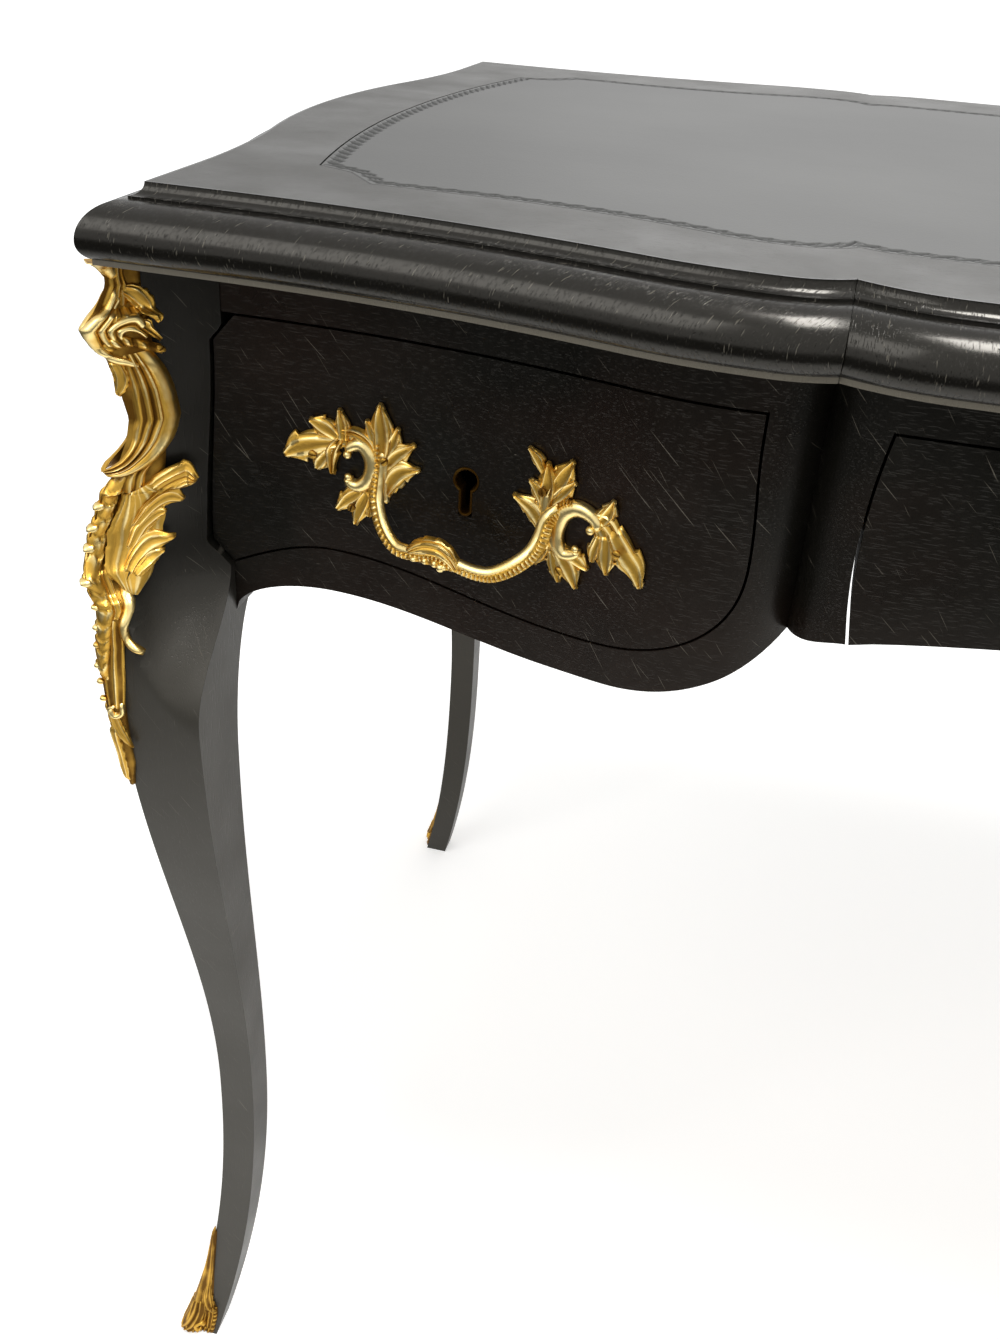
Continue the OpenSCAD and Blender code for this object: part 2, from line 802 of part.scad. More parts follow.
// Keyhole outline, grown by g, standing at x, z
module key_shape(x, z, g, y0, y1) {
  translate([x, y1, z])
    rotate([90, 0, 0])
      linear_extrude(height = y1 - y0) {
        circle(r = key_r + g);
        translate([-key_slot / 2 - g, -key_drop - g]) square([key_slot + 2 * g, key_drop]);
      }
}
module keyhole_bush(x, z, y) {
  brass() difference() {
    key_shape(x, z, bush_wall, y - bush_proud, y + bush_length);
    key_shape(x, z, 0, y - 10, y + 20);
  }
}
module key_hole(x, z, y) {
  key_shape(x, z, bush_wall, y - 20, y + bush_length);
  key_shape(x, z, 0, y, y + far);
}

// Room for a bolt behind a front whose back is at y
module bolt_space(x, y, z0, z1) {
  box(x - bolt_w / 2 - bolt_slack, x + bolt_w / 2 + bolt_slack,
    y + (lock_t - bolt_t) / 2 - bolt_slack, y + (lock_t + bolt_t) / 2 + bolt_slack, z0, z1);
}
module lock_case(x, y, z) {
  steel() difference() {
    box(x - lock_w / 2, x + lock_w / 2, y, y + lock_t, z, lock_top_z);
    bolt_space(x, y, lock_top_z - bolt_h - bolt_slack, lock_top_z + 1);
  }
}
module lock_bolt(x, y) {
  steel() box(x - bolt_w / 2, x + bolt_w / 2, y + (lock_t - bolt_t) / 2,
    y + (lock_t + bolt_t) / 2, lock_top_z - bolt_h, lock_top_z);
}

module side_drawer_front() {
  wood() difference() {
    intersection() {
      stand_x(side_drawer_outline, -far, front_back_y);
      apron_solid(0, under, 0);
    }
    key_hole(side_lock_x, key_z, face_y(side_lock_x));
    pull_screws_at(screw_slack);
  }
}
module drawer_side(x0, x1, z0, y0) {
  wood() box(x0, x1, y0, y0 + box_length, z0, box_top_z);
}
module drawer_back(x0, x1, z0, y0) {
  wood() box(x0, x1, y0 + box_length - back_t, y0 + box_length, z0 + bottom_up + bottom_t, box_top_z);
}
module drawer_bottom(x0, x1, z0, y0) {
  wood() box(x0, x1, y0, y0 + box_length, z0 + bottom_up, z0 + bottom_up + bottom_t);
}
module centre_drawer_front() {
  wood() difference() {
    intersection() {
      stand_x(centre_drawer_outline, -far, centre_back_y);
      apron_solid(0, under, 0);
    }
    key_hole(0, centre_key_z, -centre_y);
  }
}

// Pointed leaf between two places, made of two arcs that bulge by w
module leaf(a, b, w) {
  d = norm(b - a);
  r = (d * d / 4 + w * w) / (2 * w);
  translate(a)
    rotate([0, 0, atan2(b[1] - a[1], b[0] - a[0])])
      intersection() {
        translate([d / 2, r - w]) circle(r = r);
        translate([d / 2, w - r]) circle(r = r);
      }
}
// Leaves of a plate that spring from round its boss, each as across, up and half width
module spray(x, z, boss, leaves) {
  stand(-far, 0) {
    translate([x, z]) circle(r = boss);
    for (q = leaves)
      leaf([x - q[0] * 0.35, z - q[1] * 0.35], [x + q[0], z + q[1]], q[2]);
  }
}
left_leaves = [[-41, -6, 8], [-28, 14, 7], [-13, 20, 7], [7, 27, 7], [18, 17, 6], [27, -2, 7],
  [13, -20, 7], [-6, -35, 9], [-15, -27, 8]];
right_leaves = [[-30, 4, 7], [-24, 27, 9], [-3, 27, 7], [16, 14, 7], [32, -22, 10], [16, -22, 7],
  [0, -33, 9], [-13, -28, 8], [-23, -17, 7]];
// Flat scroll that stands off a plate, drawn as part of a ring
module scroll(x, z, r, a0, a1) {
  translate([x, face_y(x) + 1, z])
    rotate([90, 0, 0])
      rotate([0, 0, a0])
        rotate_extrude(angle = a1 - a0)
          translate([r - bow_radius, 0])
            square([2 * bow_radius, plate_thickness + 4]);
}
screw_places = [[-75, -84], [-39.5, -81], [-55.5, -107], [37, -78], [47.5, -113], [73, -97]];
module pull_screws_at(g) {
  for (q = screw_places)
    let (x = side_lock_x + q[0])
      translate([x, face_y(x) - plate_thickness, under + q[1]])
        rotate([90, 0, 0])
          screw(screw_in + plate_thickness, screw_proud, g);
}
module pull() {
  bow_y = (face_y(side_lock_x - bow_half) + face_y(side_lock_x + bow_half)) / 2;
  lean = atan(bow_drop / bow_out);
  sag = norm([bow_drop, bow_out]);
  r = (bow_half * bow_half + sag * sag) / (2 * sag);
  half = asin(bow_half / r);
  swing = atan((face_y(side_lock_x + bow_half) - face_y(side_lock_x - bow_half)) / (2 * bow_half));
  brass() difference() {
    union() {
      intersection() {
        union() {
          spray(pull_left_x, pull_z, 15, left_leaves);
          spray(pull_right_x, pull_z - 5, 16, right_leaves);
        }
        apron_solid(under - 200, under, plate_thickness);
      }
      scroll(pull_left_x, pull_z - 11, 11, -150, 100);
      scroll(pull_right_x + 4, pull_z - 9, 10, 60, 330);
      translate([side_lock_x, bow_y - 1, bow_end_z])
        rotate([0, 0, swing])
          rotate([lean, 0, 0])
            translate([0, r - sag, 0])
              rotate([0, 0, 270 - half - 4])
                rotate_extrude(angle = 2 * half + 8)
                  translate([r, 0])
                    circle(r = bow_radius);
      translate([side_lock_x, bow_y - 1 - bow_out, bow_end_z - bow_drop])
        rotate([0, 90, swing])
          cylinder(r = bow_radius * 1.5, h = 16, center = true);
    }
    apron_solid(under - 200, under, 0);
    pull_screws_at(screw_slack);
  }
}

module part_top_panel() {
  top_panel();
}

module part_leather_surface() {
  leather_surface();
}

module part_left_moulding() {
  wood() end_moulding();
}

module part_right_moulding() {
  wood() mirror([1, 0, 0]) end_moulding();
}

module part_front_left_moulding() {
  wood() front_side_moulding();
}

module part_front_centre_moulding() {
  wood() front_middle_moulding();
}

module part_front_right_moulding() {
  wood() mirror([1, 0, 0]) front_side_moulding();
}

module part_back_left_moulding() {
  wood() mirror([0, 1, 0]) front_side_moulding();
}

module part_back_centre_moulding() {
  wood() mirror([0, 1, 0]) front_middle_moulding();
}

module part_back_right_moulding() {
  wood() mirror([0, 1, 0]) mirror([1, 0, 0]) front_side_moulding();
}

module part_front_left_leg() {
  leg(false, false);
}

module part_front_left_mount() {
  brass() corner(false, false) mount();
}

module part_front_left_sabot() {
  brass() corner(false, false) sabot();
}

module part_front_right_leg() {
  leg(true, false);
}

module part_front_right_mount() {
  brass() corner(true, false) mount();
}

module part_front_right_sabot() {
  brass() corner(true, false) sabot();
}

module part_back_left_leg() {
  leg(false, true);
}

module part_back_left_mount() {
  brass() corner(false, true) mount();
}

module part_back_left_sabot() {
  brass() corner(false, true) sabot();
}

module part_back_right_leg() {
  leg(true, true);
}

module part_back_right_mount() {
  brass() corner(true, true) mount();
}

module part_back_right_sabot() {
  brass() corner(true, true) sabot();
}

module part_left_apron() {
  wood() side_apron();
}

module part_right_apron() {
  wood() mirror([1, 0, 0]) side_apron();
}

module part_back_apron() {
  wood() back_apron();
}

module part_front_upper_rail() {
  front_upper_rail();
}

module part_left_lower_rail() {
  lower_rail();
}

module part_right_lower_rail() {
  mirror([1, 0, 0]) lower_rail();
}

module part_left_partition() {
  partition();
}

module part_right_partition() {
  mirror([1, 0, 0]) partition();
}

module part_drawer_runners() {
  drawer_runners();
}

module part_mount_screws() {
  mount_screws();
}

module part_left_drawer_front() {
  side_drawer_front();
}

module part_left_drawer_outer_side() {
  drawer_side(box_left, box_left + box_side, box_low_z, box_y);
}

module part_left_drawer_inner_side() {
  drawer_side(box_right - box_side, box_right, box_low_z, box_y);
}

module part_left_drawer_back() {
  drawer_back(box_left + box_side, box_right - box_side, box_low_z, box_y);
}

module part_left_drawer_bottom() {
  drawer_bottom(box_left + box_side, box_right - box_side, box_low_z, box_y);
}

module part_right_drawer_front() {
  mirror([1, 0, 0]) side_drawer_front();
}

module part_right_drawer_outer_side() {
  mirror([1, 0, 0]) drawer_side(box_left, box_left + box_side, box_low_z, box_y);
}

module part_right_drawer_inner_side() {
  mirror([1, 0, 0]) drawer_side(box_right - box_side, box_right, box_low_z, box_y);
}

module part_right_drawer_back() {
  mirror([1, 0, 0]) drawer_back(box_left + box_side, box_right - box_side, box_low_z, box_y);
}

module part_right_drawer_bottom() {
  mirror([1, 0, 0]) drawer_bottom(box_left + box_side, box_right - box_side, box_low_z, box_y);
}

module part_centre_drawer_front() {
  centre_drawer_front();
}

module part_centre_drawer_left_side() {
  drawer_side(-centre_box_x, -centre_box_x + box_side, centre_box_low_z, centre_back_y);
}

module part_centre_drawer_right_side() {
  drawer_side(centre_box_x - box_side, centre_box_x, centre_box_low_z, centre_back_y);
}

module part_centre_drawer_back() {
  drawer_back(-centre_box_x + box_side, centre_box_x - box_side,
    centre_box_low_z, centre_back_y);
}

module part_centre_drawer_bottom() {
  drawer_bottom(-centre_box_x + box_side, centre_box_x - box_side,
    centre_box_low_z, centre_back_y);
}

module part_left_pull() {
  pull();
}

module part_right_pull() {
  mirror([1, 0, 0]) pull();
}

module part_left_pull_screws() {
  brass() pull_screws_at(0);
}

module part_right_pull_screws() {
  brass() mirror([1, 0, 0]) pull_screws_at(0);
}

module part_left_lock_case() {
  lock_case(side_lock_x, front_back_y, lock_top_z - lock_h);
}

module part_centre_lock_case() {
  lock_case(0, centre_back_y, centre_box_low_z + bottom_up + bottom_t + 2);
}

module part_right_lock_case() {
  lock_case(-side_lock_x, front_back_y, lock_top_z - lock_h);
}

module part_left_lock_bolt() {
  lock_bolt(side_lock_x, front_back_y);
}

module part_centre_lock_bolt() {
  lock_bolt(0, centre_back_y);
}

module part_right_lock_bolt() {
  lock_bolt(-side_lock_x, front_back_y);
}

module part_left_keyhole_bush() {
  keyhole_bush(side_lock_x, key_z, face_y(side_lock_x));
}

module part_centre_keyhole_bush() {
  keyhole_bush(0, centre_key_z, -centre_y);
}

module part_right_keyhole_bush() {
  keyhole_bush(-side_lock_x, key_z, face_y(side_lock_x));
}

part_top_panel();  // top_panel
part_leather_surface();  // leather_surface
part_left_moulding();  // left_moulding
part_right_moulding();  // right_moulding
part_front_left_moulding();  // front_left_moulding
part_front_centre_moulding();  // front_centre_moulding
part_front_right_moulding();  // front_right_moulding
part_back_left_moulding();  // back_left_moulding
part_back_centre_moulding();  // back_centre_moulding
part_back_right_moulding();  // back_right_moulding
part_front_left_leg();  // front_left_leg
part_front_left_mount();  // front_left_mount
part_front_left_sabot();  // front_left_sabot
part_front_right_leg();  // front_right_leg
part_front_right_mount();  // front_right_mount
part_front_right_sabot();  // front_right_sabot
part_back_left_leg();  // back_left_leg
part_back_left_mount();  // back_left_mount
part_back_left_sabot();  // back_left_sabot
part_back_right_leg();  // back_right_leg
part_back_right_mount();  // back_right_mount
part_back_right_sabot();  // back_right_sabot
part_left_apron();  // left_apron
part_right_apron();  // right_apron
part_back_apron();  // back_apron
part_front_upper_rail();  // front_upper_rail
part_left_lower_rail();  // left_lower_rail
part_right_lower_rail();  // right_lower_rail
part_left_partition();  // left_partition
part_right_partition();  // right_partition
part_drawer_runners();  // drawer_runners
part_mount_screws();  // mount_screws
part_left_drawer_front();  // left_drawer_front
part_left_drawer_outer_side();  // left_drawer_outer_side
part_left_drawer_inner_side();  // left_drawer_inner_side
part_left_drawer_back();  // left_drawer_back
part_left_drawer_bottom();  // left_drawer_bottom
part_right_drawer_front();  // right_drawer_front
part_right_drawer_outer_side();  // right_drawer_outer_side
part_right_drawer_inner_side();  // right_drawer_inner_side
part_right_drawer_back();  // right_drawer_back
part_right_drawer_bottom();  // right_drawer_bottom
part_centre_drawer_front();  // centre_drawer_front
part_centre_drawer_left_side();  // centre_drawer_left_side
part_centre_drawer_right_side();  // centre_drawer_right_side
part_centre_drawer_back();  // centre_drawer_back
part_centre_drawer_bottom();  // centre_drawer_bottom
part_left_pull();  // left_pull
part_right_pull();  // right_pull
part_left_pull_screws();  // left_pull_screws
part_right_pull_screws();  // right_pull_screws
part_left_lock_case();  // left_lock_case
part_centre_lock_case();  // centre_lock_case
part_right_lock_case();  // right_lock_case
part_left_lock_bolt();  // left_lock_bolt
part_centre_lock_bolt();  // centre_lock_bolt
part_right_lock_bolt();  // right_lock_bolt
part_left_keyhole_bush();  // left_keyhole_bush
part_centre_keyhole_bush();  // centre_keyhole_bush
part_right_keyhole_bush();  // right_keyhole_bush
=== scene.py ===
import math
from functools import partial
from types import SimpleNamespace

import bmesh
import bpy
import numpy as np
from mathutils import Matrix


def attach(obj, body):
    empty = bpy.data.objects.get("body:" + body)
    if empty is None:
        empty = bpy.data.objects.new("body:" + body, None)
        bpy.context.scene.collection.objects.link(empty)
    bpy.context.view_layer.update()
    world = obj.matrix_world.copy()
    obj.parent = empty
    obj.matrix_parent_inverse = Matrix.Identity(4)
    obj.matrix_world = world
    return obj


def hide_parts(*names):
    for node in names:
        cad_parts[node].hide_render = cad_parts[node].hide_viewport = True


bl_info = {
    "name": "Serpentine writing table",
    "version": (1, 0, 0),
    "blender": (4, 5, 0),
    "location": "View3D > Sidebar > Writing table",
    "description": "Dresses a black lacquered writing table with cast brass mounts",
    "category": "Object",
}

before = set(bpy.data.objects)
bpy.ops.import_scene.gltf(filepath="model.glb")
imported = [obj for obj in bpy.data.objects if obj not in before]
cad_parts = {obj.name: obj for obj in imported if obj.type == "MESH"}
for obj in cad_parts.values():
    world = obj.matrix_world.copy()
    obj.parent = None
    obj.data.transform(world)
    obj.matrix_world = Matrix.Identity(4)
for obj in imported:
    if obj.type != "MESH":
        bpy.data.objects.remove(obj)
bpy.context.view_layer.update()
CORNERS = {"front_left": (-1, -1), "front_right": (1, -1),
           "back_left": (-1, 1), "back_right": (1, 1)}
SIDES = (("left", 1), ("right", -1))
# Keyhole in millimetres: radius of the eye, half width and drop of the slot
EYE, SLOT, DROP = 5.0, 2.0, 16.0


def linear(hex_colour):
    """Linear red, green and blue of an sRGB hex colour."""
    c = np.array([int(hex_colour[i:i + 2], 16) for i in (1, 3, 5)]) / 255
    return tuple(np.where(c <= 0.04045, c / 12.92, ((c + 0.055) / 1.055) ** 2.4).tolist())


def length(name, text, mm):
    """A length property whose default is given in millimetres."""
    return bpy.props.FloatProperty(name=name, description=text, default=mm / 1000,
                                   unit="LENGTH", subtype="DISTANCE", precision=4)


def colour(name, text, hex_colour):
    """A colour property whose default is an sRGB hex colour."""
    return bpy.props.FloatVectorProperty(name=name, description=text, size=3, min=0, max=1,
                                         default=linear(hex_colour), subtype="COLOR")


class TableSizes(bpy.types.PropertyGroup):
    """The sizes that shape the visible pieces."""
    table_height: length("Table height", "Height of the writing surface", 770)
    corner_x: length("Half width", "Half width of the flat top at its corners", 560)
    corner_y: length("Half depth", "Half depth of the flat top at its corners", 263)
    side_swell: length("End swell", "How far each end of the top swells outward", 21)
    front_swell: length("Front swell", "How far the front swells at the side drawers", 29)
    cusp_x: length("Cusp", "Distance of the two cusps from the middle", 273)
    moulding_out: length("Edge moulding", "How far the edge moulding stands out", 23)
    top_thickness: length("Top thickness", "Thickness of the top with its moulding", 32)
    apron_setback: length("Apron setback", "How far the apron is set back", 22)
    drawer_gap: length("Drawer gap", "Gap round each drawer front", 1.2)
    knee_out: length("Knee", "How far the knee stands out from the leg's axis", 36)
    toe_out: length("Toe", "How far the toe stands out from the leg's axis", 35)
    ankle_out: length("Ankle", "How far the ankle stands out from the leg's axis", 10)
    ankle_width: length("Ankle width", "Width of the leg at the ankle", 21.5)
    tooling: length("Tooling depth", "Depth of the tooled border in the leather", 0.8)
    bow_radius: length("Bow radius", "Radius of the bow of each pull", 3.8)
    bow_out: length("Bow reach", "How far each bow stands off its drawer", 20)


class TableColours(bpy.types.PropertyGroup):
    """The colours of the finishes."""
    # Also painted on the posts of the legs, as painted shade under the top
    front: colour("Fronts", "Black of the polished fronts", "#0d0c09")
    front_warm: colour("Fronts, warm", "Red brown that shows through the black", "#1c120d")
    # Its grey on the lower legs is partly a painted sheen
    leg: colour("Legs", "Black of the rubbed legs and mouldings", "#33312c")
    top: colour("Top", "Black of the flat border of the top", "#1e1e1c")
    leather: colour("Leather", "Black of the leather", "#31312f")
    # Also dimmed for the painted reflection on the fillet under the edge moulding
    fleck_and_fillet_sheen: colour("Flecks", "Pale dust in open pores and small scratches", "#8d877a")
    gold: colour("Brass", "Body colour of the gilt brass", "#cda246")
    gold_dark: colour("Brass, hollows", "Patina in the hollows of the brass", "#6b4a1a")
    gold_light: colour("Brass, edges", "Worn edges of the brass", "#f4dc98")
    oak: colour("Oak", "Drawer linings", "#b08a58")
    steel: colour("Steel", "Locks", "#8c8a86")
    floor: colour("Floor", "Pale floor", "#f2f2f0")


def plan(context):
    """All sizes in millimetres: those of the sidebar and those that follow from them."""
    given = context.scene.table_sizes
    s = SimpleNamespace(**{k: getattr(given, k) * 1000 for k in given.__annotations__})
    s.under = s.table_height - s.top_thickness
    s.peak_y = s.corner_y + s.front_swell
    s.cusp_y = s.peak_y - 8.5
    s.top = SimpleNamespace(cx=s.corner_x, cy=s.corner_y, sw=s.side_swell, ys=s.corner_y - 48,
                            xs=s.corner_x - 30, xp=s.cusp_x + 27, yp=s.peak_y,
                            xq=s.cusp_x, yq=s.cusp_y, xm=s.cusp_x - 41, ym=s.cusp_y + 11)
    apron_y = s.corner_y - s.apron_setback
    apron_peak = s.peak_y - s.apron_setback + 3
    s.apron = SimpleNamespace(cx=s.corner_x + 7, cy=apron_y, sw=s.side_swell - 7,
                              ys=s.corner_y - 63, xs=s.corner_x - 35, xp=s.cusp_x + 30,
                              yp=apron_peak, xq=s.cusp_x - 0.5, yq=apron_peak - 15,
                              xm=s.cusp_x - 27, ym=apron_peak + 3)
    leather_y = s.corner_y - 44
    leather_peak = leather_y + s.front_swell - 5
    s.leather = SimpleNamespace(cx=s.corner_x - 47, ys=s.corner_y - 72, sw=s.side_swell - 1,
                                notch=(s.corner_x - 65, s.corner_y - 64),
                                start=s.corner_x - 81, cy=leather_y, xs=s.corner_x - 129,
                                xp=s.cusp_x + 27, yp=leather_peak, xq=s.cusp_x,
                                yq=leather_peak - 11, xm=s.cusp_x - 23, ym=leather_peak - 6)
    s.leg_x, s.leg_y = s.corner_x - 12, s.corner_y - 8
    s.post_in, s.post_back, s.post_out_x, s.post_out_y = -7, -45, 22, 8
    s.rail_end = s.leg_x + s.post_in
    s.drawer_top = s.under - 26
    s.rail_bottom = s.drawer_top + s.drawer_gap
    s.front_back = s.apron.cy - 22
    s.centre_back = s.apron.ym - 24
    s.lock_x = s.cusp_x + 149
    s.key_z, s.centre_key_z = s.under - 83, s.under - 52
    return s


# ---------------------------------------------------------------- meshes


def grid_faces(rows, cols, ring=False):
    """Quads of a grid of rows by cols points; ring closes each row on itself."""
    i = np.arange(rows - 1)[:, None] * cols
    j = np.arange(cols if ring else cols - 1)[None, :]
    k = (j + 1) % cols
    return np.stack([i + j, i + k, i + cols + k, i + cols + j], -1).reshape(-1, 4).tolist()


def closed_tube(rows, cols):
    """Faces of rows of cols points, each row closed on itself, with both ends covered."""
    return (grid_faces(rows, cols, ring=True)
            + [list(range(cols)), list(range((rows - 1) * cols, rows * cols))])


def sheet(place, across, along, face, back):
    """A closed sheet on a chart: its face and, at the same places, its back."""
    flip = np.s_[:, ::-1]
    points = place(np.hstack([across, across[flip]]), np.hstack([along, along[flip]]),
                   np.hstack([face, back[flip]]))
    return points.reshape(-1, 3), closed_tube(*points.shape[:2])


def run_lengths(line):
    """Length of a line from its start to each of its points."""
    steps = np.linalg.norm(np.diff(line, axis=0), axis=1)
    return np.concatenate([[0], np.cumsum(steps)])


def new_mesh(name, points, faces):
    """A mesh of points given in millimetres."""
    mesh = bpy.data.meshes.new(name)
    mesh.from_pydata((np.asarray(points) / 1000).tolist(), [], faces)
    return mesh


def make_piece(name, points, faces, body, slot, material, stands_for=(), values=None,
               angle=38, bevel=0.0, segments=2):
    """Puts points in millimetres and faces into an object that rides on a body.

    Doubles are merged, the faces turned outward, edges sharper than angle stay
    sharp, and bevel rounds them by that many millimetres. values holds one number
    or three for each point, kept as attributes of the mesh.
    """
    mesh = new_mesh(name, points, faces)
    for key, data in (values or {}).items():
        data = np.asarray(data, dtype=np.float32)
        kind = "FLOAT_VECTOR" if data.ndim == 2 else "FLOAT"
        layer = mesh.attributes.new(key, kind, "POINT")
        layer.data.foreach_set("vector" if data.ndim == 2 else "value", data.ravel())
    bm = bmesh.new()
    bm.from_mesh(mesh)
    bmesh.ops.remove_doubles(bm, verts=bm.verts, dist=2e-6)
    bmesh.ops.dissolve_degenerate(bm, edges=bm.edges, dist=1e-7)
    bmesh.ops.recalc_face_normals(bm, faces=bm.faces)
    bm.to_mesh(mesh)
    bm.free()
    mesh.polygons.foreach_set("use_smooth", [True] * len(mesh.polygons))
    mesh.set_sharp_from_angle(angle=math.radians(angle))
    piece = bpy.data.objects.new(name, mesh)
    bpy.context.collection.objects.link(piece)
    mesh.materials.append(material)
    if bevel:
        m = piece.modifiers.new("Softened edges", "BEVEL")
        m.width = bevel / 1000
        m.segments = segments
        m.limit_method = "ANGLE"
        m.angle_limit = math.radians(angle)
        m.use_clamp_overlap = True
        m.harden_normals = True
    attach(piece, body)
    if stands_for:
        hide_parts(*stands_for)
    return piece


def carve(piece, points, faces):
    """Takes the closed shape out of a piece and keeps the result as its mesh."""
    mesh = new_mesh("cut", points, faces)
    bm = bmesh.new()
    bm.from_mesh(mesh)
    bmesh.ops.recalc_face_normals(bm, faces=bm.faces)
    bm.to_mesh(mesh)
    bm.free()
    tool = bpy.data.objects.new("cut", mesh)
    bpy.context.collection.objects.link(tool)
    m = piece.modifiers.new("Cut", "BOOLEAN")
    m.operation, m.solver, m.object = "DIFFERENCE", "EXACT", tool
    while piece.modifiers[0] != m:
        bpy.context.view_layer.objects.active = piece
        bpy.ops.object.modifier_move_up(modifier=m.name)
    bpy.context.view_layer.objects.active = piece
    bpy.ops.object.modifier_apply(modifier=m.name)
    bpy.data.objects.remove(tool)
    bpy.data.meshes.remove(mesh)


def solid(points, faces, back):
    """A board from its face: the face, the same face at depth back, and the walls
    that join the two along every open edge."""
    points = np.asarray(points, float)
    _, first, same = np.unique(np.round(points, 4), axis=0, return_index=True,
                               return_inverse=True)
    same = same.ravel()
    faces = same[np.asarray(faces)]
    faces = faces[(np.diff(np.sort(faces, 1), axis=1) != 0).sum(1) > 1]
    front = points[first]
    n = len(front)
    rear = front.copy()
    rear[:, 1] = back[first] if np.ndim(back) else back
    edges = np.stack([faces, np.roll(faces, -1, 1)], -1).reshape(-1, 2)
    edges = edges[edges[:, 0] != edges[:, 1]]
    _, where, count = np.unique(np.sort(edges, 1), axis=0, return_inverse=True,
                                return_counts=True)
    edge = edges[count[where.ravel()] == 1]
    wall = np.stack([edge[:, 1], edge[:, 0], edge[:, 0] + n, edge[:, 1] + n], 1)
    shell = [list(dict.fromkeys(f)) for f in faces.tolist()]
    shell = [f for f in shell if len(f) > 2]
    behind = [[v + n for v in reversed(f)] for f in shell]
    return np.vstack([front, rear]), shell + behind + wall.tolist()


def region(columns, low, high, rows, depth):
    """Face whose columns stand at given places across: between the lines low and
    high, each a list of (across, height), in rows even steps, at depth(across)."""
    low, high = np.asarray(low), np.asarray(high)
    z0 = np.interp(columns, low[:, 0], low[:, 1])
    z1 = np.interp(columns, high[:, 0], high[:, 1])
    t = np.linspace(0, 1, rows)[:, None]
    z = z0 + (z1 - z0) * t
    x = np.broadcast_to(columns, z.shape)
    points = np.stack([x, np.broadcast_to(depth(columns), z.shape), z], -1).reshape(-1, 3)
    return points, grid_faces(rows, len(columns))


def level(z):
    """A line at one height, wider than every piece."""
    return [[-600, z], [600, z]]


def join(*parts):
    """Several (points, faces) as one."""
    points, faces, n = [], [], 0
    for p, f in parts:
        points.append(np.asarray(p, float))
        faces += [[v + n for v in face] for face in f]
        n += len(p)
    return np.vstack(points), faces


def turned(part, x=1, y=1):
    """A part mirrored across the middle planes."""
    return np.asarray(part[0]) * (x, y, 1), part[1]


# ---------------------------------------------------------------- outlines


def ease(t):
    """From 0 to 1 with level ends: half of one minus the cosine of half a turn."""
    return (1 - np.cos(np.pi * np.asarray(t, float))) / 2


def mix(a, b, t):
    """From a to b as t goes from 0 to 1."""
    return a + (b - a) * t


def arcs(o):
    """Arcs of a serpentine front: a hollow arc and a shorter full arc with equal turns, a
    level stretch from start to end at the peak, and the two arcs that meet at the cusp."""
    start, end = o.xp + 2, o.xp - 2
    turn = 2 * math.atan((o.yp - o.cy) / (o.xs - start))
    r = (o.xs - start) / math.sin(turn)
    outer = ((end - o.xq) ** 2 + (o.yp - o.yq) ** 2) / (2 * (o.yp - o.yq))
    inner = ((o.xq - o.xm) ** 2 + (o.ym - o.yq) ** 2) / (2 * (o.ym - o.yq))
    return SimpleNamespace(start=start, end=end, turn=turn, hollow=0.8 * r, full=0.2 * r,
                           outer=outer, outer_turn=math.asin((end - o.xq) / outer),
                           inner=inner, inner_turn=math.asin((o.xq - o.xm) / inner))


def front_depth(o, x):
    """How far the serpentine front o stands forward at x: its arcs as circles."""
    k = arcs(o)
    a = np.abs(np.asarray(x, float))
    change = o.xs - k.hollow * math.sin(k.turn)

    def arc(r, d):
        return r - np.sqrt(np.maximum(r * r - d * d, 0))
    return np.select(
        [a >= o.xs, a >= change, a >= k.start, a >= k.end, a >= o.xq, a >= o.xm],
        [o.cy + 0 * a, o.cy + arc(k.hollow, o.xs - a), o.yp - arc(k.full, a - k.start),
         o.yp + 0 * a, o.yp - arc(k.outer, k.end - a), o.ym - arc(k.inner, a - o.xm)], o.ym)


def end_reach(o, y):
    """How far the swelling end o stands out at y: two equal arcs with level ends."""
    th = 2 * math.atan(o.sw / o.ys)
    r = o.ys / math.sin(th) / 2
    a = np.minimum(np.abs(np.asarray(y, float)), o.ys)
    return np.where(a < o.ys / 2, o.cx + o.sw - r + np.sqrt(r * r - a * a),
                    o.cx + r - np.sqrt(r * r - (o.ys - a) ** 2))


def side_path(o, extra=80):
    """Line of the left half of a front up to its cusp and past it, with its outward
    directions: arcs are circles sampled at even turns."""
    k = arcs(o)
    # Points of the straight run before the corner, and of the one past the cusp
    lead, trail = 12, 9
    a = np.linspace(0, k.turn, 60)[1:]
    b = np.linspace(k.turn, 0, 30)[1:]
    c = np.linspace(0, k.outer_turn, 50)[1:]
    x = np.concatenate([np.linspace(-o.xs - extra, -o.xs, lead), -o.xs + k.hollow * np.sin(a),
                        -k.start - k.full * np.sin(b), [-k.end], -k.end + k.outer * np.sin(c)])
    y = np.concatenate([np.full(lead, -o.cy), -o.cy - k.hollow * (1 - np.cos(a)),
                        -o.yp + k.full * (1 - np.cos(b)), [-o.yp],
                        -o.yp + k.outer * (1 - np.cos(c))])
    turn = np.concatenate([np.zeros(lead), -a, -b, [0], c, np.full(trail - 1, k.outer_turn)])
    p = np.stack([x, y], 1)
    way = (math.cos(k.outer_turn), math.sin(k.outer_turn))
    past = p[-1] + np.linspace(0, 40, trail)[1:, None] * way
    return np.vstack([p, past]), np.stack([np.sin(turn), -np.cos(turn)], 1)


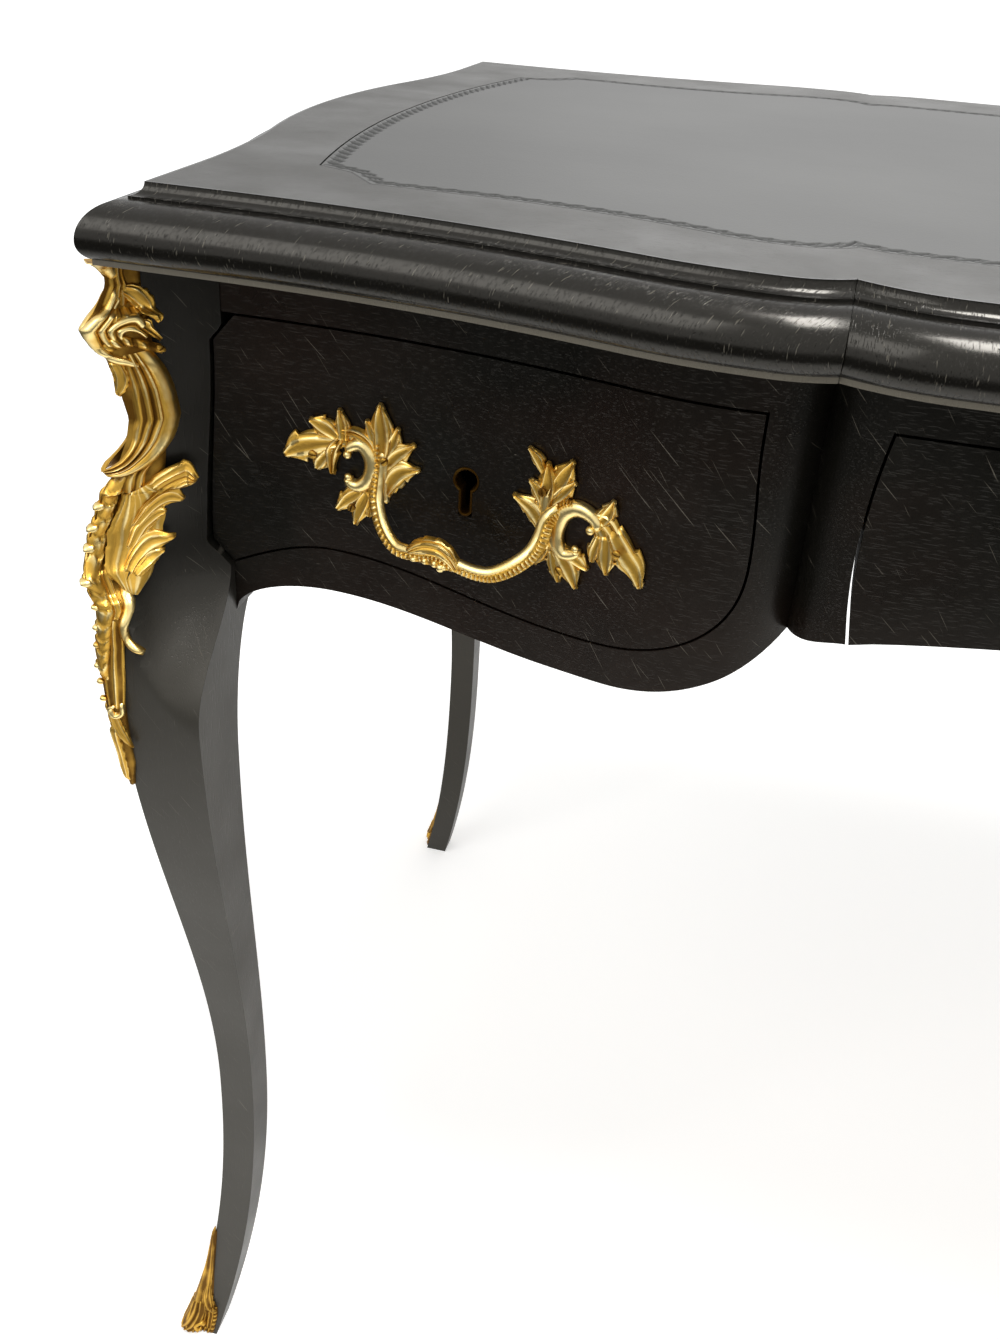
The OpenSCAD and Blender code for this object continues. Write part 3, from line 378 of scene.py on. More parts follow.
def middle_path(o):
    """Line of the middle of a front, from past one cusp to past the other."""
    k = arcs(o)
    lead, flat = 9, 40
    d = np.linspace(k.inner_turn, 0, 40)
    left = np.stack([-o.xm - k.inner * np.sin(d), -o.ym + k.inner * (1 - np.cos(d))], 1)
    way = (math.cos(k.inner_turn), -math.sin(k.inner_turn))
    left = np.vstack([left[0] - np.linspace(40, 0, lead)[:-1, None] * way, left])
    d = np.concatenate([np.full(lead - 1, k.inner_turn), d])
    out = np.stack([-np.sin(d), -np.cos(d)], 1)
    line = np.stack([np.linspace(-o.xm, o.xm, flat), np.full(flat, -o.ym)], 1)
    flip = np.array([-1, 1])
    return (np.vstack([left, line[1:-1], left[::-1] * flip]),
            np.vstack([out, np.tile([0.0, -1.0], (flat - 2, 1)), out[::-1] * flip]))


def end_path(o, extra=40):
    """Line of the left end from front to back, past both corners."""
    th = 2 * math.atan(o.sw / o.ys)
    r = o.ys / math.sin(th) / 2
    a, b = np.linspace(0, th, 50), np.linspace(th, 0, 50)
    x = np.concatenate([-o.cx - o.sw + r * (1 - np.cos(a)), -o.cx - r * (1 - np.cos(b[1:])),
                        np.full(12, -o.cx)])
    y = np.concatenate([-r * np.sin(a), -o.ys + r * np.sin(b[1:]),
                        np.linspace(-o.ys, -o.cy - extra, 13)[1:]])
    turn = np.concatenate([a, b[1:], np.zeros(12)])
    p, n = np.stack([x, y], 1), np.stack([-np.cos(turn), -np.sin(turn)], 1)
    flip = np.array([1, -1])
    return np.vstack([p[::-1], p[1:] * flip]), np.vstack([n[::-1], n[1:] * flip])


def mirrored(path):
    """A path mirrored in X, in the same direction of travel."""
    flip = np.array([-1, 1])
    return path[0][::-1] * flip, path[1][::-1] * flip


def mitred(path, section, cut_a, cut_b, count):
    """Carries a section (out, height) along a path: each of its points follows the
    path moved outward by its own distance, and runs in count even steps between the
    crossings with two mitre lines, each given by a point and an inward direction."""
    p, n = path
    rows = []
    for w, z in section:
        q = p + w * n
        s = run_lengths(q)
        ends = []
        for (at, inward), pick in ((cut_a, 0), (cut_b, -1)):
            f = (q - at) @ np.asarray(inward, float)
            i = np.where((f[:-1] > 0) != (f[1:] > 0))[0][pick]
            ends.append(s[i] + (s[i + 1] - s[i]) * f[i] / (f[i] - f[i + 1]))
        t = np.linspace(*ends, count)
        rows.append(np.stack([np.interp(t, s, q[:, 0]), np.interp(t, s, q[:, 1]),
                              np.full(count, z)], 1))
    return np.array(rows)


def side_drawer_lines(s, gap=0.0):
    """Lower and upper line of a left drawer front as (across, height), grown by gap:
    a hump, a sagging belly and a quarter that turns up into a nearly upright side."""
    under, left, tip_x, rise = s.under, -(s.corner_x - 8.5), -(s.corner_x - 19), 55
    hump_x, belly_x, right = -(s.corner_x - 73), -(s.cusp_x + 99), -(s.cusp_x + 20.5)
    tip_z, hump_z, belly_z = under - 148, under - 132, under - 145
    side_z, top = tip_z + 10, s.drawer_top
    t = np.linspace(0, 1, 40)
    low = np.concatenate([
        [[left, side_z]],
        np.stack([mix(tip_x, hump_x, t), mix(tip_z, hump_z, np.sin(t * np.pi / 2))], 1),
        np.stack([mix(hump_x, belly_x, t[1:]), mix(hump_z, belly_z, ease(t[1:]))], 1),
        np.stack([belly_x + (right - belly_x) * np.sin(t[1:] * np.pi / 2) ** 0.83,
                  belly_z + rise * (1 - np.cos(t[1:] * np.pi / 2) ** 0.83)], 1)])
    u = np.linspace(0, 1, 9)
    high = np.concatenate([
        [[left, side_z]],
        np.stack([mix(left, left + 6, ease(u[1:])), mix(side_z, top - 12, u[1:])], 1),
        [[tip_x + 6, top], [right - 3, top]],
        np.stack([mix(right - 3, right, ease(u[1:])),
                  mix(top - 8, belly_z + rise, u[1:])], 1)])
    return grown(low, gap, -1), grown(high, gap, 1)


def grown(line, gap, side):
    """A line (across, height) moved by gap to one side, mitred at its points."""
    if not gap:
        return line
    d = np.diff(line, axis=0)
    n = np.stack([-d[:, 1], d[:, 0]], 1) * side / np.linalg.norm(d, axis=1)[:, None]
    a, b = np.vstack([n[:1], n]), np.vstack([n, n[-1:]])
    m = (a + b) / np.linalg.norm(a + b, axis=1)[:, None]
    return line + m * gap / np.maximum((m * a).sum(1), 0.4)[:, None]


def lower_edge(s):
    """Lower edge of the apron's left half, as (across, height), up to the middle."""
    hump_x, belly_x = -(s.corner_x - 73), -(s.cusp_x + 99)
    low_tip, low_hump, low_belly = s.under - 176, s.under - 155, s.under - 165
    crease_x, crease_z, edge = -s.apron.xq, s.under - 124, -(s.apron.xq - 21.5)
    t = np.linspace(0, 1, 40)
    u = t[1:]
    return np.concatenate([
        np.stack([mix(-s.rail_end, hump_x, t),
                  low_tip + (low_hump - low_tip) * np.sqrt(1 - (1 - t) ** 2)], 1),
        np.stack([mix(hump_x, belly_x - 3, u), mix(low_hump, low_belly, ease(u))], 1),
        np.stack([mix(belly_x - 3, crease_x, u), mix(low_belly, crease_z, u ** 3.1)], 1),
        np.stack([mix(crease_x, edge + 4, u), mix(crease_z, s.under - 118, ease(u))], 1)])


def centre_drawer_lines(s, gap=0.0):
    """Lower and upper line of the middle drawer front: sides that bulge a little and
    an arch over the knees."""
    edge = -(s.apron.xq - 21.5)
    low_z, arch_z = s.under - 118, s.under - 91
    t = np.linspace(0, 1, 21)
    side = np.stack([edge + 4 * (2 * t - 1) ** 2, mix(s.drawer_top, low_z, t)], 1)
    u = np.linspace(0, 1, 40)[1:]
    arch = np.stack([mix(edge + 4, edge * -0.5, u),
                     low_z + (arch_z - low_z) * np.sin(np.pi / 2 * u ** 0.8)], 1)
    half = np.concatenate([side[10:], arch[arch[:, 0] < 0]])
    middle = np.interp(0, arch[:, 0], arch[:, 1])
    low = np.concatenate([half, [[0, middle]], (half * (-1, 1))[::-1]])
    top = side[:11][::-1]
    high = np.concatenate([top, (top * (-1, 1))[::-1]])
    return grown(low, gap, -1), grown(high, gap, 1)


def spread(*lines, step=4.0):
    """Places across at which columns stand: every point of the lines, and more
    between them so that none is further than step from the next."""
    marks = np.unique(np.round(np.concatenate([np.asarray(q)[:, 0] for q in lines]), 3))
    marks = marks[np.concatenate([[True], np.diff(marks) > 0.05])]
    parts = [np.linspace(a, b, max(2, int(np.ceil((b - a) / step)) + 1))[:-1]
             for a, b in zip(marks[:-1], marks[1:])]
    return np.concatenate(parts + [marks[-1:]])


def rail_face(s, depth, top):
    """Face of the left lower rail: two bands of columns, one under the drawer and its
    lower half beside it, the other up to the top, round the two drawer openings."""
    low_line, high_line = side_drawer_lines(s, s.drawer_gap)
    c_low, c_high = centre_drawer_lines(s, s.drawer_gap)
    corner = low_line[-1]
    waist = c_low[0]
    crease = -s.apron.xq
    edge = lower_edge(s)
    k = np.argmin(low_line[:, 1])
    bottom_of_drawer = low_line[k:]
    c_end = c_low[:11]
    split = np.array([corner, [crease, waist[1]], waist])
    lower_top = np.concatenate([bottom_of_drawer, split[1:], c_end[1:]])
    reach = lower_top[-1, 0]
    start = max(-s.rail_end, bottom_of_drawer[0, 0])
    a = spread(edge[edge[:, 0] < reach], lower_top, [[start, 0], [reach, 0], [crease, 0]])
    a = a[(a >= start) & (a <= reach)]
    lower = region(a, edge, lower_top, 12, depth)
    right = high_line[high_line[:, 0] > -s.cusp_x - 27]
    right = right[np.argsort(right[:, 0])]
    upright = np.concatenate([[[right[0, 0], top]], right[1:], split[1:], c_high[1:11]])
    upright = upright[np.concatenate([[True], np.diff(upright[:, 0]) > 0.001])]
    upright[:, 1] = np.minimum(upright[:, 1], top)
    b = a[a >= corner[0] - 0.001]
    b = np.unique(np.concatenate([spread(right, step=1.0), b[b <= upright[-1, 0]],
                                  upright[-8:, 0]]))
    b = b[(b >= upright[0, 0]) & (b <= upright[-1, 0])]
    upper = region(b, upright, level(top), 14, depth)
    return lower, upper


# ---------------------------------------------------------------- finishes


# A Mix node of colours: input 0 is the share, 6 and 7 are the colours, output 2 the result
MIX = {"out": 2, "data_type": "RGBA"}


def feed(tree, node, feeds):
    """Gives inputs of a node their values, a colour as three parts, or links them."""
    for key, value in feeds.items():
        socket = node.inputs[key]
        if isinstance(value, bpy.types.NodeSocket):
            tree.links.new(value, socket)
        else:
            three = socket.type == "RGBA" and len(value) == 3
            socket.default_value = (*value, 1) if three else value


def add(tree, kind, feeds=None, out=0, stops=(), **settings):
    """Adds a node with its settings and links and returns its output. feeds maps inputs
    to values or sockets; stops are those of a ramp, as (place, grey or colour)."""
    n = tree.nodes.new("ShaderNode" + kind)
    for key, value in settings.items():
        setattr(n, key, value)
    for k, (at, shade) in enumerate(stops):
        e = n.color_ramp.elements[k] if k < 2 else n.color_ramp.elements.new(at)
        e.position = at
        e.color = (*shade, 1) if isinstance(shade, tuple) else (shade, shade, shade, 1)
    feed(tree, n, feeds or {})
    return n.outputs[out]


def new_finish(name, **uniform):
    """A material's nodes, its Principled shader with the plain values on its sockets, and
    the socket that tells the place on the object."""
    m = bpy.data.materials.new(name)
    m.use_nodes = True
    tree = m.node_tree
    shader = tree.nodes["Principled BSDF"]
    feed(tree, shader, {key.replace("_", " "): value for key, value in uniform.items()})
    return tree, shader, add(tree, "TexCoord", out="Object")


def dimmed(tone, share):
    """A colour at a share of its strength."""
    return tuple(min(1, v * share) for v in tone)


def streaks(tree, where, scale, turn, low, high, seed=0.0):
    """Short pale strokes: noise stretched along one direction and cut high."""
    place = add(tree, "Mapping", {"Vector": where, "Rotation": turn,
                                  "Scale": tuple(1 / v for v in scale),
                                  "Location": (seed, seed * 2, seed * 3)},
                vector_type="TEXTURE")
    noise = add(tree, "TexNoise", {"Vector": place, "Scale": 1.0, "Detail": 1.0,
                                   "Roughness": 0.4})
    return add(tree, "ValToRGB", {"Fac": noise}, stops=((low, 0.0), (high, 1.0)))


def lacquer(name, base, warm, fleck_and_fillet_sheen, rough, gloss, grain, strength, scratches, dusty,
            worn=None):
    """Beech, stained black and lacquered in thin rubbed coats: the open pores stay as
    fine strokes along the grain, with pale dust in some, and brown shows through."""
    tree, shader, where = new_finish(name, Specular_IOR_Level=gloss, Coat_Weight=0.0,
                                     Specular_Tint=(1, 0.955, 0.87))
    along_path = grain == "path"
    if along_path:
        where = add(tree, "Attribute", out="Vector", attribute_name="grain")
    # Pores are 0.25 mm wide and some 6 mm long
    sizes = {"x": (160, 1800, 1800), "z": (1500, 1500, 130), "path": (2400, 340, 900)}[grain]
    pores = streaks(tree, where, sizes, (0, 0, 0), 0.60, 0.72)
    marks = streaks(tree, where, tuple(v * 0.62 for v in sizes), (0, 0, 0.06), dusty,
                    dusty + 0.06, 3.1)
    cloud = add(tree, "TexNoise", {"Vector": where, "Scale": 9.0, "Detail": 3.0})
    brown = add(tree, "ValToRGB", {"Fac": cloud}, stops=((0.42, 0.0), (0.7, 1.0)))
    tint = add(tree, "Mix", {0: brown, 6: base, 7: warm}, **MIX)
    if worn:
        # Grey below a height and black above it: partly wear, partly painted light, a painted
        # shade on the posts under the top and a painted sheen on the lower legs
        low, high, black = worn
        height = add(tree, "SeparateXYZ", {0: where}, "Z")
        share = add(tree, "MapRange", {"Value": height, "From Min": low, "From Max": high})
        tint = add(tree, "Mix", {0: share, 6: tint, 7: black}, **MIX)
    if along_path:
        # The narrow fillet under the moulding is painted grey: a painted reflection of the pale
        # floor in front of it
        fillet_reflection = add(tree, "Attribute", out="Fac", attribute_name="fillet_reflection")
        tint = add(tree, "Mix", {0: fillet_reflection, 6: tint, 7: dimmed(fleck_and_fillet_sheen, 0.55)}, **MIX)
    if scratches:
        # Hair-thin scratches 15 to 40 mm long, at two slants
        for size, turn, low, seed in (((38, 38, 1700), 0.75, 0.755, 7.7),
                                      ((1600, 38, 38), -0.6, 0.76, 1.9)):
            hairs = streaks(tree, where, size, (0, turn, 0), low, 0.79, seed)
            marks = add(tree, "Math", {0: hairs, 1: marks}, operation="MAXIMUM")
    marks = add(tree, "Math", {0: marks, 1: strength}, operation="MULTIPLY")
    haze = add(tree, "TexNoise", {"Vector": where, "Scale": 22.0, "Detail": 4.0})
    wave = add(tree, "TexNoise", {"Vector": where, "Scale": 60.0, "Detail": 2.0})
    waves = add(tree, "Bump", {"Height": wave, "Distance": 0.00012, "Strength": 1.0})
    feed(tree, shader, {
        "Base Color": add(tree, "Mix", {0: marks, 6: tint, 7: fleck_and_fillet_sheen}, **MIX),
        "Roughness": add(tree, "MapRange", {"Value": haze, "From Min": 0.3, "From Max": 0.7,
                                            "To Min": rough - 0.05, "To Max": rough + 0.07}),
        "Normal": add(tree, "Bump", {"Height": pores, "Strength": 0.8, "Normal": waves,
                                     "Distance": -0.00012 if along_path else -0.00006})})


def finishes(context):
    """All materials by name, made once."""
    if "ebonised_beech_polished" in bpy.data.materials:
        return bpy.data.materials
    c = context.scene.table_colours
    for name, base, warm, *rest in (
            # Fronts: nearly black, with brown clouds and pale hair scratches
            ("polished", c.front, c.front_warm, 0.30, 0.28, "x", 0.36, True, 0.80),
            # Legs rubbed satin: the grain stands, so they spread light and read grey, a grey that
            # is partly painted sheen; the black from about the knee up is painted shade under the
            # top
            ("rubbed", c.leg, c.leg, 0.36, 0.36, "z", 0.20, True, 0.78,
             (0.535, 0.60, tuple(c.front))),
            # Edge mouldings: grain across the run, pale dust in many pores, waxed
            ("waxed", c.front, c.front, 0.19, 0.37, "path", 0.22, False, 0.70),
            # Flat border of the top: fine satin, hardly any pores
            ("satin", c.top, c.top, 0.40, 0.55, "x", 0.08, False, 0.80)):
        lacquer("ebonised_beech_" + name, tuple(base), tuple(warm), tuple(c.fleck_and_fillet_sheen), *rest)
    leather_finish(c)
    for name, rough, strength in (("gilt_brass_cast", 0.38, 1.0), ("brass_turned", 0.32, 1.0),
                                  ("brass_tarnished", 0.42, 0.35)):
        brass_finish(name, c, rough, strength)
    oak_finish(c)
    steel_finish(c)
    return bpy.data.materials


def leather_finish(c):
    """Cowhide, dyed black and waxed: fine grain cells of about 1 mm, a soft broad sheen,
    and a blind tooled border that is pressed darker and duller."""
    tree, shader, where = new_finish("leather_black_tooled", Specular_IOR_Level=0.52)
    cells = add(tree, "TexVoronoi", {"Vector": where, "Scale": 900.0}, "Distance")
    cloud = add(tree, "TexNoise", {"Vector": where, "Scale": 7.0, "Detail": 5.0})
    press = add(tree, "Attribute", out="Fac", attribute_name="press")
    faded = add(tree, "ValToRGB", {"Fac": cloud}, stops=((0.35, 0.0), (0.7, 1.0)))
    tone = add(tree, "Mix", {0: faded, 6: tuple(c.leather), 7: dimmed(c.leather, 1.45)}, **MIX)
    soft = add(tree, "Bump", {"Height": cloud, "Distance": 0.0006, "Strength": 1.0})
    feed(tree, shader, {
        "Base Color": add(tree, "Mix", {0: press, 6: tone, 7: dimmed(c.leather, 0.25)}, **MIX),
        "Roughness": add(tree, "MapRange", {"Value": press, "To Min": 0.46, "To Max": 0.8}),
        "Normal": add(tree, "Bump", {"Height": cells, "Distance": 0.00006, "Strength": 0.6,
                                     "Normal": soft})})


def brass_finish(name, c, rough, strength):
    """Brass, cast, chased and gilt long ago: brown stays in the hollows, edges are worn
    bright, and the cast skin between the chased lines is a little uneven."""
    tree, shader, where = new_finish(name, Metallic=1.0)
    relief = add(tree, "Attribute", out="Fac", attribute_name="relief")
    skin = add(tree, "TexNoise", {"Vector": where, "Scale": 420.0, "Detail": 3.0})
    blotch = add(tree, "TexNoise", {"Vector": where, "Scale": 70.0, "Detail": 3.0})
    shift = add(tree, "Math", {0: blotch, 1: -0.5}, operation="ADD")
    mark = add(tree, "Math", {0: shift, 1: 0.7, 2: relief}, operation="MULTIPLY_ADD")
    hollow, body, edge = (tuple(v * strength for v in tone)
                          for tone in (c.gold_dark, c.gold, c.gold_light))
    feed(tree, shader, {
        "Base Color": add(tree, "ValToRGB", {"Fac": mark}, stops=(
            (0.12, hollow), (0.42, body), (0.72, body), (0.95, edge))),
        "Roughness": add(tree, "MapRange", {"Value": mark, "From Min": 0.1, "From Max": 0.9,
                                            "To Min": rough + 0.22, "To Max": rough - 0.06}),
        "Normal": add(tree, "Bump", {"Height": skin, "Distance": 0.0002, "Strength": 0.6})})


def oak_finish(c):
    """Oak, planed and waxed: long grain with darker bands, for the drawer linings."""
    tree, shader, where = new_finish("oak_waxed", Specular_IOR_Level=0.4)
    place = add(tree, "Mapping", {"Vector": where, "Scale": (40.0, 3.0, 40.0)})
    band = add(tree, "TexNoise", {"Vector": place, "Scale": 1.0, "Detail": 5.0,
                                  "Distortion": 0.6})
    feed(tree, shader, {
        "Base Color": add(tree, "Mix", {0: band, 6: dimmed(c.oak, 0.5), 7: tuple(c.oak)}, **MIX),
        "Roughness": add(tree, "ValToRGB", {"Fac": band}, stops=((0.2, 0.62), (0.8, 0.44))),
        "Normal": add(tree, "Bump", {"Height": band, "Distance": 0.0003, "Strength": 1.0})})


def steel_finish(c):
    """Mild steel, filed: fine scratches one way, for lock cases and bolts."""
    tree, shader, where = new_finish("steel_filed", Metallic=1.0)
    place = add(tree, "Mapping", {"Vector": where, "Scale": (60.0, 900.0, 2400.0)})
    lines = add(tree, "TexNoise", {"Vector": place, "Scale": 1.0})
    feed(tree, shader, {
        "Base Color": add(tree, "Mix", {0: lines, 6: dimmed(c.steel, 0.7), 7: tuple(c.steel)},
                          **MIX),
        "Roughness": add(tree, "ValToRGB", {"Fac": lines}, stops=((0.3, 0.28), (0.7, 0.46))),
        "Normal": add(tree, "Bump", {"Height": lines, "Distance": 0.00005, "Strength": 1.0})})


def cad_finish(node):
    """The finish of a CAD node that shows as it is."""
    if node == "top_panel":
        return "ebonised_beech_satin"
    if "_lock_" in node:
        return "steel_filed"
    lining = "_drawer_" in node and not node.endswith("_front")
    if lining or node.endswith(("_partition", "_runners")):
        return "oak_waxed"
    if node.endswith(("mount", "sabot", "pull", "screws", "bush")):
        return "gilt_brass_cast"
    if node == "leather_surface":
        return "leather_black_tooled"
    return "ebonised_beech_rubbed" if node.endswith("leg") else "ebonised_beech_polished"


# ---------------------------------------------------------------- operators


class PieceOperator(bpy.types.Operator):
    """Common to all steps of the build."""
    bl_options = {"REGISTER", "UNDO"}

    def execute(self, context):
        self.build(context, plan(context), finishes(context))
        return {"FINISHED"}


class WRITINGTABLE_OT_carried(PieceOperator):
    """Gives each construction solid its finish; those without a dressed piece stay in view"""
    bl_idname = "writingtable.carried"
    bl_label = "Finishes"

    def build(self, context, s, finish):
        for node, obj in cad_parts.items():
            obj.data.materials.clear()
            obj.data.materials.append(finish[cad_finish(node)])


class WRITINGTABLE_OT_mouldings(PieceOperator):
    """Carries the edge moulding round the top in eight mitred lengths"""
    bl_idname = "writingtable.mouldings"
    bl_label = "Edge mouldings"

    def build(self, context, s, finish):
        section = self.section(s)
        corner, cusp = np.array([-s.corner_x, -s.corner_y]), np.array([-s.cusp_x, 0.0])
        # Each length stops a tenth of a millimetre short of its mitre lines
        gap = 0.1
        front = mitred(side_path(s.top), section, (corner + (gap, 0), (1, -1)),
                       (cusp - (gap, 0), (-1, 0)), 170)
        middle = mitred(middle_path(s.top), section, (cusp + (gap, 0), (1, 0)),
                        (-cusp - (gap, 0), (-1, 0)), 220)
        end = mitred(end_path(s.top), section, (corner + (0, gap), (-1, 1)),
                     (corner * (1, -1) - (0, gap), (-1, -1)), 260)
        for node, rows, x, y in (
                ("front_left_moulding", front, 1, 1), ("front_right_moulding", front, -1, 1),
                ("back_left_moulding", front, 1, -1), ("back_right_moulding", front, -1, -1),
                ("front_centre_moulding", middle, 1, 1), ("back_centre_moulding", middle, 1, -1),
                ("left_moulding", end, 1, 1), ("right_moulding", end, -1, 1)):
            n, m = rows.shape[:2]
            points = rows.reshape(-1, 3) * (x, y, 1)
            ring = np.arange(n) * m
            faces = grid_faces(n, m)
            faces += [[ring[-1] + k, ring[-1] + k + 1, k + 1, k] for k in range(m - 1)]
            faces += [ring.tolist(), (ring + m - 1).tolist()]
            along = np.stack([run_lengths(row) for row in rows])
            around = run_lengths(section)[:, None] + 0 * along
            grain = np.stack([along, around, 0 * along], -1).reshape(-1, 3) / 1000
            # Rows 1 and 2 of the section, the fillet, get the painted reflection: a pale grey band
            fillet_reflection = np.zeros((n, m))
            fillet_reflection[1:3] = 1
            make_piece(node + "_turned", points, faces, "table_frame", "black_lacquer",
                       finish["ebonised_beech_waxed"], (node,),
                       {"grain": grain, "fillet_reflection": fillet_reflection.ravel()}, angle=32)

    def section(self, s):
        """Profile (out, height): fillet, quarter round below, larger quarter round
        above, quirk, and a cove up to the flat, as circles."""
        low, high = s.under, s.table_height
        step_in, fillet, inner, cove = 7, 2.3, -0.15, 5.4
        small, big = s.top_thickness - 24, s.moulding_out - step_in
        nose = high - 6.5 - big
        a = np.linspace(-62, 0, 11)
        b = np.linspace(0, 90, 21)[1:]
        c = np.linspace(267.9, 180, 12)

        def arc(x, z, r, t):
            return np.stack([x + r * np.cos(np.radians(t)), z + r * np.sin(np.radians(t))], 1)
        foot = s.moulding_out - 0.59 * small
        return np.concatenate([[[inner, low], [foot, low], [foot, low + fillet]],
                               arc(s.moulding_out - small, nose, small, a),
                               arc(step_in, nose, big, b), [[step_in - 0.8, nose + big]],
                               arc(cove + 1, high, cove, c), [[inner, high]]])


class WRITINGTABLE_OT_leather(PieceOperator):
    """Lays the leather in its recess, with its tooled border"""
    bl_idname = "writingtable.leather"
    bl_label = "Leather surface"

    def build(self, context, s, finish):
        o = s.leather
        flip_x, flip_y = np.array([-1, 1]), np.array([1, -1])
        end, end_normal = self.end(o)
        quarter = [np.array(k) for k in ((-o.cx, -o.ys), (-o.notch[0], -o.notch[1]),
                                         (-o.start, -o.cy), (-o.xq, -o.yq))]
        knots = quarter + [k * flip_x for k in quarter[::-1]]
        one, two = self.straight(*quarter[:2]), self.straight(*quarter[1:3])
        front = side_path(o, 60)
        # Counter-clockwise from the front corner of the left end to that of the right one
        runs = [one, two, front, middle_path(o), mirrored(front), mirrored(two), mirrored(one)]
        normals = [[n[np.argmin(np.linalg.norm(p - k, axis=1))] for k in pair]
                   for (p, n), pair in zip(runs, zip(knots[:-1], knots[1:]))]
        before = [end_normal] + [pair[1] for pair in normals]
        after = [pair[0] for pair in normals] + [end_normal * flip_x]
        cuts = []
        for knot, b, f in zip(knots, before, after):
            m = (b + f) / np.linalg.norm(b + f)
            cuts.append((knot, np.array([-m[1], m[0]])))
        rows = self.rows(s)
        section, spacing = rows[:, :2], 1.25
        strips = []
        for run, ca, cb in zip(runs, cuts[:-1], cuts[1:]):
            count = int(max(8, np.linalg.norm(cb[0] - ca[0]) / spacing))
            strips.append(mitred(run, section, ca, (cb[0], -cb[1]), count))
        left = mitred(end, section, (cuts[0][0] * flip_y, cuts[0][1] * flip_x),
                      (cuts[0][0], -cuts[0][1]), 310)
        back = [strip[:, ::-1] * (1, -1, 1) for strip in strips[::-1]]
        loop = strips + [left[:, ::-1] * (-1, 1, 1)] + back + [left]
        for one, two in zip(loop, loop[1:] + loop[:1]):
            meet = (one[:, -1] + two[:, 0]) / 2
            one[:, -1], two[:, 0] = meet, meet
        grid = np.concatenate([g[:, :-1] for g in loop], axis=1)
        press = self.tooling(run_lengths(grid[3]), rows[:, 0], rows[:, 2])
        grid[:, :, 2] -= press * s.tooling
        make_piece("leather_tooled", grid.reshape(-1, 3), closed_tube(*grid.shape[:2]),
                   "table_frame", "leather", finish["leather_black_tooled"],
                   ("leather_surface",), {"press": np.clip(press, 0, 1).ravel()}, angle=50)

    def end(self, o):
        """Left end: one arc, with its outward directions and the one at its front corner."""
        turn = math.asin(o.ys / ((o.ys ** 2 + o.sw ** 2) / (2 * o.sw)))
        r = o.ys / math.sin(turn)
        a = np.linspace(turn + 0.05, -turn - 0.05, 160)
        return ((np.stack([-o.cx - o.sw + r * (1 - np.cos(a)), -r * np.sin(a)], 1),
                 np.stack([-np.cos(a), -np.sin(a)], 1)),
                np.array([-math.cos(turn), -math.sin(turn)]))

    def straight(self, p, q):
        """A line through two points and past both, with its outward direction."""
        past, span = 20, np.linalg.norm(q - p)
        d = (q - p) / span
        t = np.linspace(-past, span + past, 40)[:, None]
        return p + d * t, np.tile([d[1], -d[0]], (40, 1))

    def rows(self, s):
        """Rows inward from the edge: (out, height, whether tooled)."""
        top, edge = s.table_height - 0.02, -0.15
        inward = [0.0, 0.5, 1.0] + list(np.arange(1.8, 13.1, 0.7)) + [14.0]
        return np.array([(edge, top - 1.55, 0)] + [
            (edge - d, top - (0.45 if d < 0.4 else 0), 1 if d > 0.9 else 0) for d in inward])

    def tooling(self, along, out, tooled):
        """Depth of the border, 0 to 1: slanting leaf-shaped strokes side by side between
        2 and 9 mm from the edge, joined by a thin wavy line."""
        pitch, middle, reach = 9.5, 5.5, 3.6
        d = -out[:, None]
        x = along[None, :]
        phase = (x - 1.4 * (d - middle)) / pitch
        u = phase - np.floor(phase) - 0.5
        v = (d - middle) / reach
        leaf = np.clip(1.3 - (u / (0.30 * np.sqrt(np.clip(1 - v * v, 0.001, 1)))) ** 2, 0, 1)
        leaf *= np.abs(v) < 1
        wave = middle + 2.4 * np.sin(2 * np.pi * x / pitch)
        vein = np.clip(1.2 - np.abs(d - wave) / 0.7, 0, 1) * 0.7
        return np.maximum(leaf * 0.9, vein) * tooled[:, None]


